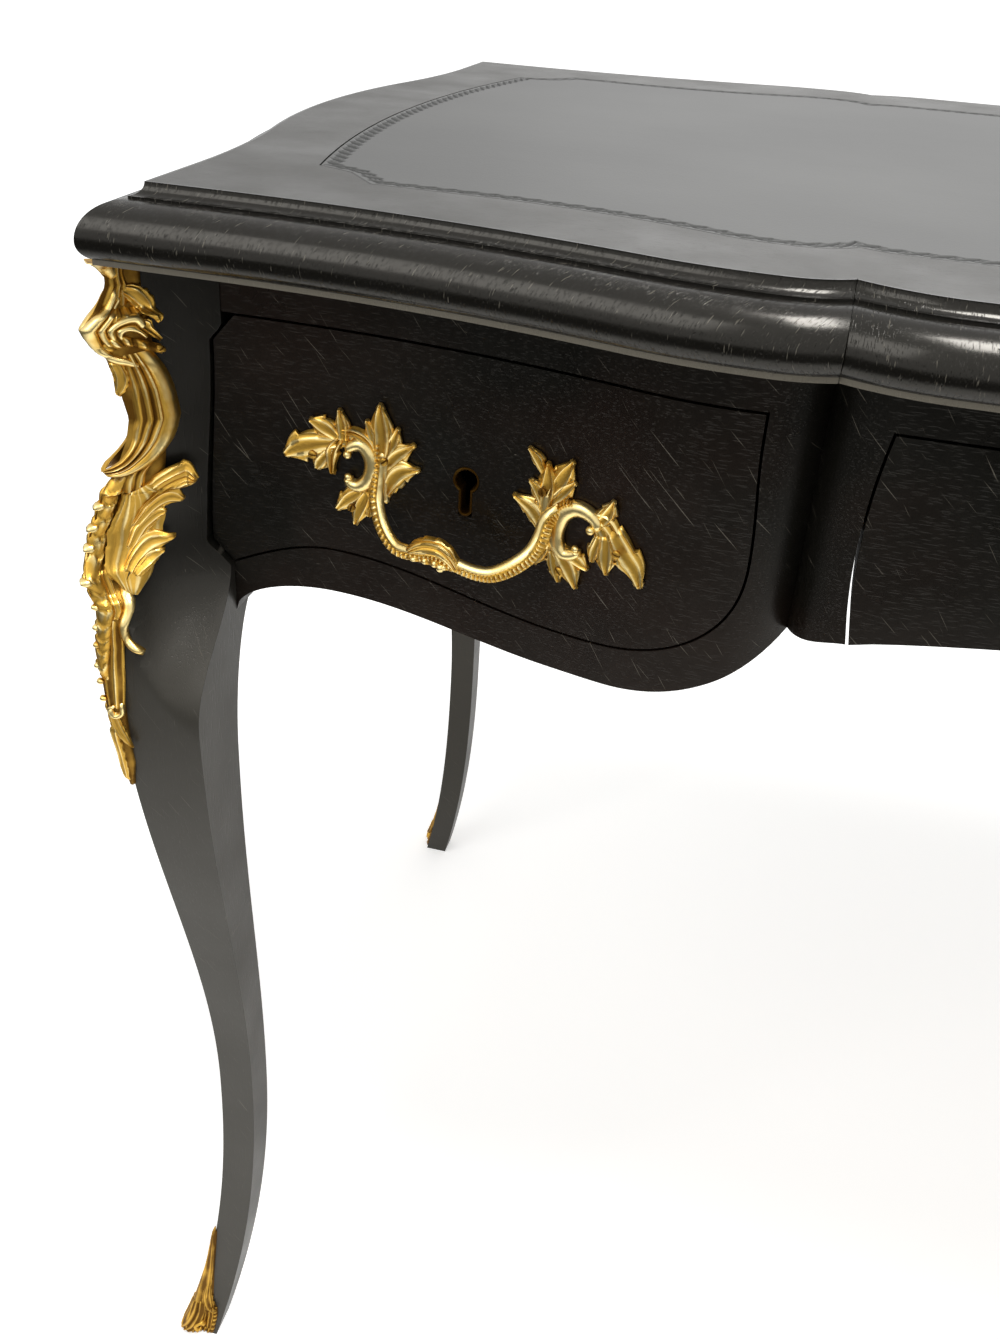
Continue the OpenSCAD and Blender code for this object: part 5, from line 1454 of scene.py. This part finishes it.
class WRITINGTABLE_OT_sabots(BrassOperator):
    """Casts the leafy shoes of the four feet"""
    bl_idname = "writingtable.sabots"
    bl_label = "Sabots"

    def build(self, context, s, finish):
        low = -s.under
        skin = foot_skin(s, ((110, 0.5), (60, 1), (30, 3), (12, 4), (0, 2)),
                         ((110, 2), (60, 5), (30, 8), (0, 9)))
        forms = []
        for sign in (1, -1):
            def place(a, z, h):
                return on_skin(skin, sign * a, z + low, h)
            form = partial(blade, place)
            forms += [
                form([(0, 97), (0.6, 80), (1.5, 62), (3, 42), (5, 24)], [0.5, 1.6, 3, 5, 7], 1.8,
                     "leaf", 7, 0.15, rows=40),
                form([(5, 46), (7, 34), (12, 24), (17, 22)], [2, 4, 4, 0.8], 2, "leaf", 5, 0.3,
                     lift=[0.4, 0.5, 1, 2]),
                form([(3, 30), (4, 20), (3, 10), (0, 3)], [4.5, 6, 6, 3], 2.6, "flute", 4,
                     lift=[0.5, 1, 2, 3]),
                form([(11, 24), (14, 14), (14.5, 3)], [4, 4.5, 4], 1.8, "flute", 3),
                form([(16, 24), (18.5, 14), (18.5, 2)], [1.2, 1.5, 1.2], 2.2, "beads", 6),
                form([(13, 8), (9, 11), (6, 8.5), (7.5, 5), (10, 6.5)], [1.3, 1.5, 1.5, 1.3, 1],
                     3.2, lift=(1, 1), rows=26, cols=9),
                form([(19, 2.5), (12, 3.5), (6, 2.2), (0, 3)], [1.6, 1.8, 1.6, 1.6], 2.6, "beads",
                     7, lift=(0.6, 0.6)),
            ]
        # The plain shoe that the leaves stand on
        z = np.linspace(1, 92, 40)[:, None]
        c = np.linspace(-1, 1, 31)[None, :]
        wide = np.interp(z, [0, 22, 30, 60, 92], [19.5, 19, 13, 5, 1.2])
        face = 0.8 - 1.4 * np.abs(c) ** 8 + 0 * z
        points, faces = sheet(partial(on_skin, skin), wide * c, low + z + 0 * c, face,
                              -2 + 0 * face)
        forms.append((points, faces, np.full(len(points), 0.2)))
        # The feet are more tarnished than the rest
        points, faces, relief = cast(forms)
        self.corners(finish, "_sabot", (points, faces, 0.6 * relief - 0.16))


# The pierced leaves of the pulls
LEAF = {"kind": "leaf", "lobes": 0.34, "fat": 1.45}


class WRITINGTABLE_OT_pulls(BrassOperator):
    """Casts the two pulls with their leaves, scrolls and bow"""
    bl_idname = "writingtable.pulls"
    bl_label = "Drawer pulls"

    def build(self, context, s, finish):
        place = partial(on_front, s)
        points, faces, relief = cast(self.left_plate(place) + self.right_plate(place)
                                     + self.bow(place, s))
        # The pulls are painted a shade brighter than the other brass: painted light for the light
        # that falls on the drawer fronts
        for side, sign in SIDES:
            self.cast_piece(side + "_pull", "_cast", (points, faces, relief + 0.1),
                            side + "_drawer", "gilt_brass", finish["gilt_brass_cast"],
                            turn=(sign, 1))

    def bow(self, place, s):
        """The beaded bow, with the leaf and the bead at its middle."""
        form = partial(blade, place)
        r, out = s.bow_radius * 0.8, s.bow_out
        lift = [2.5, 3, 6, out * 0.65, out * 0.88, out, out, out, out, out * 0.95,
                out * 0.82, out * 0.62, out * 0.42, 5, 3]
        return [
            form([(-41.8, -79), (-42.4, -90), (-42, -99.7), (-36.6, -108.4), (-28.2, -114.8),
                  (-17.6, -114.4), (-7.8, -112.6), (2, -115), (11.8, -116.4), (20, -115.4),
                  (28.7, -110.4), (35.6, -104.2), (38.8, -97.9), (40.9, -89.1), (46, -84)],
                 [3, 3.3, 3.7, 3.9, 3.8, 3.6, 3.6, 3.6, 3.6, 3.7, 3.9, 3.9, 3.9, 3.7, 3], r, "bow",
                 64, lift=lift, under=r * 0.85, rows=260, cols=21),
            form([(-22, -114), (-14, -109.5), (-6, -108.8), (0, -112), (4.5, -117.5)],
                 [1.4, 4.2, 5, 4, 1.2], 3.6, "leaf", 6, 0.2, lift=[out + 0.6] * 5, under=3.6,
                 rows=44, cols=19),
            form([(-24, -117), (-14, -116), (-6, -116.4), (2, -117.5)], [0.8, 1.8, 2, 0.9], 3.4,
                 "beads", 5, lift=[out + 0.4] * 4, under=3),
            bead(place, -4.5, -117.2, out + 2.4, 2.1),
        ]

    def left_plate(self, place):
        """Webs, ring scroll, post and leaves round the left end of the bow."""
        form = partial(blade, place)
        leaf = partial(form, **LEAF)
        return [
            # Thin webs that join the leaves to one plate
            form([(-86, -84), (-74, -78), (-62, -75), (-50, -78)], [3, 6.5, 5.5, 2], 1.6, "leaf",
                 5, 0.3, rows=36),
            form([(-41.5, -102), (-37.5, -88), (-37, -74), (-41, -62)], [3, 7, 6.5, 1.5], 1.7,
                 "leaf", 5, 0.3, rows=36),
            form([(-46, -95), (-52, -103), (-57, -109)], [3, 6.5, 3], 1.6, "leaf", 4, 0.3),
            form([(-58.3, -81), (-56.4, -77.6), (-51.4, -76), (-47.3, -80.1), (-46, -86),
                  (-48, -92.5), (-52.6, -96.2), (-57, -95.2), (-57.7, -92.3)],
                 [1.9, 2.8, 3.4, 3.8, 3.9, 3.7, 3.3, 2.7, 2.2], 4, lift=(0.8, 0.8), rows=60,
                 cols=13),
            bead(place, -57.6, -81.2, 3.4, 2.0),
            bead(place, -57.2, -92.0, 3.4, 1.9),
            form([(-42.8, -72), (-43, -84), (-43.2, -96), (-43.5, -103)], [1.1, 1.3, 1.3, 1.1],
                 4.6, "beads", 15, lift=(1, 1), rows=80, cols=9),
            form([(-40.5, -76), (-40.4, -86), (-40.6, -96), (-40, -102)], [2.4, 3, 3.2, 2.6], 3,
                 lift=(0.6, 0.6)),
            form([(-62, -71), (-54, -71), (-47.5, -74.5), (-44.5, -81)], [1.2, 3, 3.2, 2.2], 3.4,
                 "flute", 2, lift=(0.6, 0.6)),
            leaf([(-62, -76.5), (-73.8, -79.5), (-82.6, -82.5), (-90, -87.3)], [2.4, 5, 5.4, 0.8],
                 3, n=3, lift=[0.6, 0.6, 1, 1.6], rows=36),
            leaf([(-62, -75), (-69.9, -70.4), (-77, -67.6)], [2, 4, 0.7], 2.6, n=3,
                 lift=[0.8, 0.8, 1.6]),
            leaf([(-60, -76), (-60.7, -67.6), (-62, -60.2)], [2, 2.8, 0.6], 2.8, n=2,
                 lift=[1, 1, 1.6]),
            form([(-62, -75), (-66, -82), (-65.5, -93)], [2.5, 4.4, 1.2], 3, n=2, kind="flute",
                 lobes=0.4, lift=[1, 1, 1.4], rows=40),
            leaf([(-66, -80), (-72, -88), (-74, -92)], [2, 3.2, 0.8], 2.4, n=2),
            leaf([(-41.5, -84), (-41, -71.1), (-41.7, -61.8), (-41.8, -54.2)],
                 [2.4, 4.4, 3.6, 0.6], 3.2, n=2, lift=[0.8, 0.8, 1.2, 2], rows=36),
            leaf([(-42.8, -79), (-45.8, -70), (-48.8, -63.2)], [2, 2.9, 0.6], 2.6, n=2,
                 lift=[0.6, 0.6, 1.4]),
            leaf([(-40.3, -80), (-35.8, -72), (-33, -64.2)], [2, 3.2, 0.6], 2.6, n=3,
                 lift=[0.6, 0.6, 1.4]),
            leaf([(-40.2, -86), (-33.8, -77.8), (-24.6, -70.6)], [2, 3.8, 0.7], 2.8, n=3,
                 lift=[0.6, 0.6, 1.6], rows=34),
            leaf([(-40, -98), (-32.8, -86), (-22, -82)], [2.2, 4.6, 0.7], 3, n=3,
                 lift=[0.6, 0.6, 1.6], rows=34),
            leaf([(-47.6, -98), (-51.6, -106.5), (-54.3, -116.4)], [2.4, 3.8, 0.7], 2.8, n=3,
                 lift=[0.6, 0.6, 1.4]),
            leaf([(-50.5, -98), (-57.3, -103.3), (-64, -110.3)], [2, 3.8, 0.9], 2.6, n=3,
                 lift=[0.6, 0.6, 1.4]),
            leaf([(-46, -98), (-47, -105), (-47.6, -111.4)], [1.6, 2.4, 0.6], 2.4, n=2),
        ]

    def right_plate(self, place):
        """Webs, ring scroll, post and leaves round the right end of the bow."""
        form = partial(blade, place)
        leaf = partial(form, **LEAF)
        return [
            form([(38.5, -102), (37.5, -88), (40, -75), (43, -66)], [3, 7, 6.5, 1.5], 1.7, "leaf",
                 5, 0.3, rows=36),
            form([(42, -99), (47, -107), (51, -113)], [3, 7, 4], 1.6, "leaf", 4, 0.3),
            form([(62, -85), (70, -93), (76, -101)], [3, 7, 3.5], 1.6, "leaf", 5, 0.3),
            form([(60.6, -90.4), (62.6, -86.8), (58.8, -83.2), (52.5, -82.4), (47, -86.6),
                  (44.6, -94.1), (45.2, -101.1), (48.7, -104.8), (53.9, -103.3), (54.6, -100.6)],
                 [2, 2.8, 3.5, 3.9, 4, 3.9, 3.7, 3.2, 2.6, 2.1], 4, lift=(0.8, 0.8), rows=66,
                 cols=13),
            bead(place, 60.2, -89.8, 3.4, 2.0),
            bead(place, 54.2, -100.4, 3.2, 1.7),
            form([(52, -79.4), (46, -82), (41.8, -88), (40.6, -96)], [1.1, 1.3, 1.3, 1.1], 4.6,
                 "beads", 12, lift=(1, 1), rows=64, cols=9),
            form([(39.6, -106), (39, -96), (38.6, -86), (38.4, -78)], [2.6, 3.2, 3, 2], 3,
                 lift=(0.6, 0.6)),
            leaf([(38, -72), (33.4, -64.3), (28.8, -59.6)], [0.8, 2.4, 0.6], 2.4, n=2,
                 lift=[0.8, 1, 1.6]),
            leaf([(38.1, -88), (39, -75.5), (38.7, -64)], [2.6, 4, 0.6], 3.2, n=3,
                 lift=[0.8, 0.8, 1.8], rows=34),
            leaf([(39.3, -82), (45.4, -70), (49.8, -60.8)], [2, 4, 0.7], 2.8, n=3,
                 lift=[0.6, 0.8, 1.6], rows=34),
            leaf([(39.6, -84), (46, -76.5), (51.6, -70)], [2, 3.4, 0.7], 2.6, n=3,
                 lift=[0.6, 0.8, 1.6]),
            leaf([(37.9, -85), (34.5, -78), (30.2, -74)], [2, 3, 0.6], 2.6, n=2,
                 lift=[0.6, 0.8, 1.6]),
            leaf([(38.6, -97), (32.9, -88), (23, -82.8)], [2.2, 4, 0.7], 2.8, n=3,
                 lift=[0.6, 0.8, 1.6], rows=34),
            leaf([(63, -88), (67.3, -80.5), (69.6, -73.4)], [2.4, 3.2, 0.6], 2.8, n=3,
                 lift=[0.6, 0.8, 1.8]),
            form([(59, -84), (66.4, -84.6), (72.8, -91)], [2.2, 4.8, 4], 3, n=2, kind="flute",
                 lobes=0.2, rows=34),
            leaf([(70, -87), (76.5, -96.4), (81.8, -102.4), (85.2, -110.6)], [3.4, 5, 4.2, 0.8],
                 3.2, n=2, lift=[0.8, 0.8, 1, 1.8], rows=40),
            leaf([(67.5, -91), (68.3, -101.5), (69.4, -109.2)], [2.6, 3.6, 0.6], 2.8, n=3,
                 lift=[0.6, 0.6, 1.4]),
            leaf([(64.5, -92), (62.6, -99.7), (61.8, -105.6)], [1.8, 2.6, 0.6], 2.4, n=2),
            leaf([(45, -103), (51.5, -111), (56.3, -120.2)], [2.4, 4.2, 0.7], 3, n=3,
                 lift=[0.6, 0.6, 1.4], rows=34),
            leaf([(48, -103.6), (54.7, -106), (61, -109.6)], [2, 3.6, 0.7], 2.8, n=3),
            leaf([(43, -104), (45.6, -112.6), (47.6, -120)], [2, 3.2, 0.6], 2.6, n=3),
            leaf([(40.6, -104), (37.4, -109), (34.6, -114.6)], [2, 2.8, 0.6], 2.4, n=2),
        ]


class WRITINGTABLE_OT_screws(BrassOperator):
    """Turns the slotted screws and the keyhole bushes"""
    bl_idname = "writingtable.screws"
    bl_label = "Screws and keyhole bushes"

    def build(self, context, s, finish):
        brass = finish["brass_turned"]
        spots = ((-75, -84), (-39.5, -81), (-55.5, -107), (37, -78), (47.5, -113), (73, -97))
        part = cast([slotted(partial(on_front, s), *spot, 4.5, 1.9, 0.6 * i)
                     for i, spot in enumerate(spots)])
        for side, sign in SIDES:
            self.cast_piece(side + "_pull_screws", "_slotted", part, side + "_drawer",
                            "brass_screws", brass, 40, (sign, 1))
        self.corner_screws(s, brass)
        for side, x, z in (("left", -s.lock_x, s.key_z), ("centre", 0, s.centre_key_z),
                           ("right", s.lock_x, s.key_z)):
            self.bush(s, side, x, z, finish["brass_tarnished"])

    def corner_screws(self, s, brass):
        """Two screws in each corner mount and one in each sabot."""
        mount = partial(on_skin, mount_skin(s))
        foot = partial(on_skin, foot_skin(s, ((110, 0.5), (0, 2)), ((110, 2), (0, 9))))
        points, faces, relief = cast([slotted(mount, 24, -39.5, 4.2, 1.8, 0.4),
                                      slotted(mount, 27.5, -141, 3.4, 1.6, 1.2),
                                      slotted(foot, 13, 24 - s.under, 3.4, 1.6, 2.0)])
        part = cast([(points * (x, y, 1), faces, relief) for x in (1, -1) for y in (1, -1)])
        self.cast_piece("mount_screws", "_slotted", part, "table_frame", "brass_screws", brass,
                        40)

    def bush(self, s, drawer, x, z, brass):
        """A worn brass lining: a rounded wall swept round the keyhole's outline."""
        a = math.asin(SLOT / EYE)
        eye = np.linspace(-math.pi / 2 + a, 1.5 * math.pi - a, 44)
        foot = np.linspace(math.pi, 2 * math.pi, 13)
        side = np.linspace(-5.4, SLOT - DROP, 8)
        path = np.concatenate([
            np.stack([EYE * np.cos(eye), EYE * np.sin(eye)], -1),
            np.stack([np.full(8, -SLOT), side], -1),
            np.stack([SLOT * np.cos(foot), SLOT - DROP + SLOT * np.sin(foot)], -1)[1:-1],
            np.stack([np.full(8, SLOT), side[::-1]], -1)])
        g = np.roll(path, -1, 0) - np.roll(path, 1, 0)
        out = np.stack([g[:, 1], -g[:, 0]], -1)
        out /= np.linalg.norm(out, axis=1, keepdims=True)
        lip = np.linspace(np.pi, 0, 7)
        wall = np.concatenate([[(1.3, 8.5), (0.02, 8.5), (0.02, 0)],
                               np.stack([0.66 + 0.64 * np.cos(lip), -0.75 * np.sin(lip)], -1)])
        face = -front_depth(s.apron, x)
        p = path[:, None] + out[:, None] * wall[None, :, :1]
        y = np.broadcast_to(face + wall[None, :, 1], p.shape[:2])
        points = np.stack([x + p[..., 0], y, z + p[..., 1]], -1).reshape(-1, 3)
        m = len(wall)
        faces = grid_faces(len(path), m, ring=True)
        last = (len(path) - 1) * m
        faces += [[last + j, last + (j + 1) % m, (j + 1) % m, j] for j in range(m)]
        ring = np.where(np.arange(len(path)) < len(eye), -0.05, -0.25)
        relief = (ring[:, None] + np.where(wall[:, 1] < 0, 0.1, -0.1)[None, :]).ravel()
        self.cast_piece(drawer + "_keyhole_bush", "_worn", (points, faces, relief),
                        drawer + "_drawer", "bush_brass", brass, 40)


class WRITINGTABLE_OT_stage(PieceOperator):
    """Sets the floor, soft lights and camera"""
    bl_idname = "writingtable.stage"
    bl_label = "Stage and camera"

    def build(self, context, s, finish):
        scene = context.scene
        scene.view_settings.view_transform = "Standard"
        self.world(scene)
        self.floor(context)
        self.camera(scene)
        # Name, place, aim and side length in metres, watts
        for name, place, aim, size, power in (
                ("key", (-1.6, -2.2, 2.6), (0.0, 0.0, 0.6), 1.6, 26),
                ("window", (0.15, -0.5, 2.5), (0.0, -0.25, 0.7), 0.75, 50),
                ("back", (-0.2, 2.4, 2.2), (-0.2, 0.0, 0.7), 1.8, 8)):
            light = bpy.data.lights.new(name, "AREA")
            light.shape, light.size, light.energy = "SQUARE", size, power
            lamp = bpy.data.objects.new(name, light)
            d = np.array(aim) - place
            yaw, tilt = math.atan2(d[1], d[0]), math.atan2(-d[2], math.hypot(d[0], d[1]))
            lamp.location = place
            lamp.rotation_euler = (math.pi / 2 - tilt, 0, yaw - math.pi / 2)
            context.collection.objects.link(lamp)

    def world(self, scene):
        """White all round: full in the camera, in gloss and through glass, half as light."""
        world = bpy.data.worlds.new("studio")
        scene.world = world
        world.use_nodes = True
        tree = world.node_tree
        seen = add(tree, "LightPath", out="Is Camera Ray")
        for ray in ("Is Glossy Ray", "Is Transmission Ray"):
            seen = add(tree, "Math", {0: seen, 1: add(tree, "LightPath", out=ray)},
                       operation="MAXIMUM")
        feed(tree, tree.nodes["Background"], {
            "Color": (1, 1, 1),
            "Strength": add(tree, "MapRange", {"Value": seen, "To Min": 0.5, "To Max": 1.0})})

    def floor(self, context):
        """A pale painted floor that turns to plain white with distance."""
        tree, shader, where = new_finish("floor_painted", Specular_IOR_Level=0.0,
                                         Roughness=0.9, Emission_Color=(1, 1, 1))
        camera = add(tree, "LightPath", out="Is Camera Ray")
        gloss = add(tree, "LightPath", out="Is Glossy Ray")
        away = add(tree, "VectorMath", {0: where}, "Value", operation="LENGTH")
        # In the gloss of the table the floor is bright near it and dark further off
        dark = add(tree, "MapRange", {"Value": away, "From Min": 0.95, "From Max": 1.5})
        dark = add(tree, "Math", {0: dark, 1: gloss}, operation="MULTIPLY")
        # Straight to the camera it turns from painted to plain white with distance
        lift = add(tree, "MapRange", {"Value": away, "From Min": 0.8, "From Max": 3.0,
                                      "To Min": 0.5, "To Max": 0.8})
        lift = add(tree, "Math", {0: lift, 1: camera}, operation="MULTIPLY")
        near = add(tree, "Math", {0: gloss, 1: dark}, operation="SUBTRACT")
        pale = tuple(context.scene.table_colours.floor)
        feed(tree, shader, {
            "Base Color": add(tree, "Mix", {0: dark, 6: pale, 7: (0.1, 0.1, 0.1)}, **MIX),
            "Emission Strength": add(tree, "Math", {0: near, 1: 0.38, 2: lift},
                                     operation="MULTIPLY_ADD")})
        half = 30000
        floor = bpy.data.objects.new("floor", new_mesh(
            "floor", [(-half, -half, 0), (half, -half, 0), (half, half, 0), (-half, half, 0)],
            [(0, 1, 2, 3)]))
        floor.data.materials.append(bpy.data.materials["floor_painted"])
        context.collection.objects.link(floor)

    def camera(self, scene):
        """The photograph's view: place, turn, tilt and roll, fitted to the table."""
        place, focal_px, height_px, sensor = (-0.2863, -0.7639, 0.8798), 1280, 1339, 36.0
        yaw, tilt, roll = (math.radians(v) for v in (-12.55, 31.21, 3.96))
        ahead = np.array([math.sin(yaw) * math.cos(tilt), math.cos(yaw) * math.cos(tilt),
                          -math.sin(tilt)])
        right = np.array([math.cos(yaw), -math.sin(yaw), 0.0])
        up = np.cross(right, ahead)
        right, up = (math.cos(roll) * right + math.sin(roll) * up,
                     -math.sin(roll) * right + math.cos(roll) * up)
        data = bpy.data.cameras.new("photograph")
        data.sensor_fit, data.sensor_width, data.sensor_height = "AUTO", sensor, sensor
        data.lens = sensor * focal_px / height_px
        camera = bpy.data.objects.new("photograph", data)
        turn = Matrix(np.stack([right, up, -ahead], 1).tolist()).to_4x4()
        camera.matrix_world = Matrix.Translation(place) @ turn
        scene.collection.objects.link(camera)
        scene.camera = camera


STEPS = (WRITINGTABLE_OT_carried, WRITINGTABLE_OT_mouldings, WRITINGTABLE_OT_leather,
         WRITINGTABLE_OT_fronts, WRITINGTABLE_OT_legs, WRITINGTABLE_OT_mounts,
         WRITINGTABLE_OT_sabots, WRITINGTABLE_OT_pulls, WRITINGTABLE_OT_screws,
         WRITINGTABLE_OT_stage)


class WRITINGTABLE_PT_panel(bpy.types.Panel):
    """Sizes, colours and steps of the table"""
    bl_label = "Writing table"
    bl_idname = "WRITINGTABLE_PT_panel"
    bl_space_type = "VIEW_3D"
    bl_region_type = "UI"
    bl_category = "Writing table"

    def draw(self, context):
        layout = self.layout
        for step in STEPS:
            layout.operator(step.bl_idname)
        for group in (context.scene.table_sizes, context.scene.table_colours):
            for key in group.__annotations__:
                layout.prop(group, key)


CLASSES = (TableSizes, TableColours, *STEPS, WRITINGTABLE_PT_panel)


def register():
    """Registers the classes and puts sizes and colours on the scene."""
    for c in CLASSES:
        bpy.utils.register_class(c)
    bpy.types.Scene.table_sizes = bpy.props.PointerProperty(type=TableSizes)
    bpy.types.Scene.table_colours = bpy.props.PointerProperty(type=TableColours)


def unregister():
    """Takes away what register added."""
    del bpy.types.Scene.table_colours
    del bpy.types.Scene.table_sizes
    for c in reversed(CLASSES):
        bpy.utils.unregister_class(c)


def main():
    """Builds the table step by step."""
    register()
    for step in STEPS:
        group, name = step.bl_idname.split(".")
        getattr(getattr(bpy.ops, group), name)()


if __name__ == "__main__":
    main()
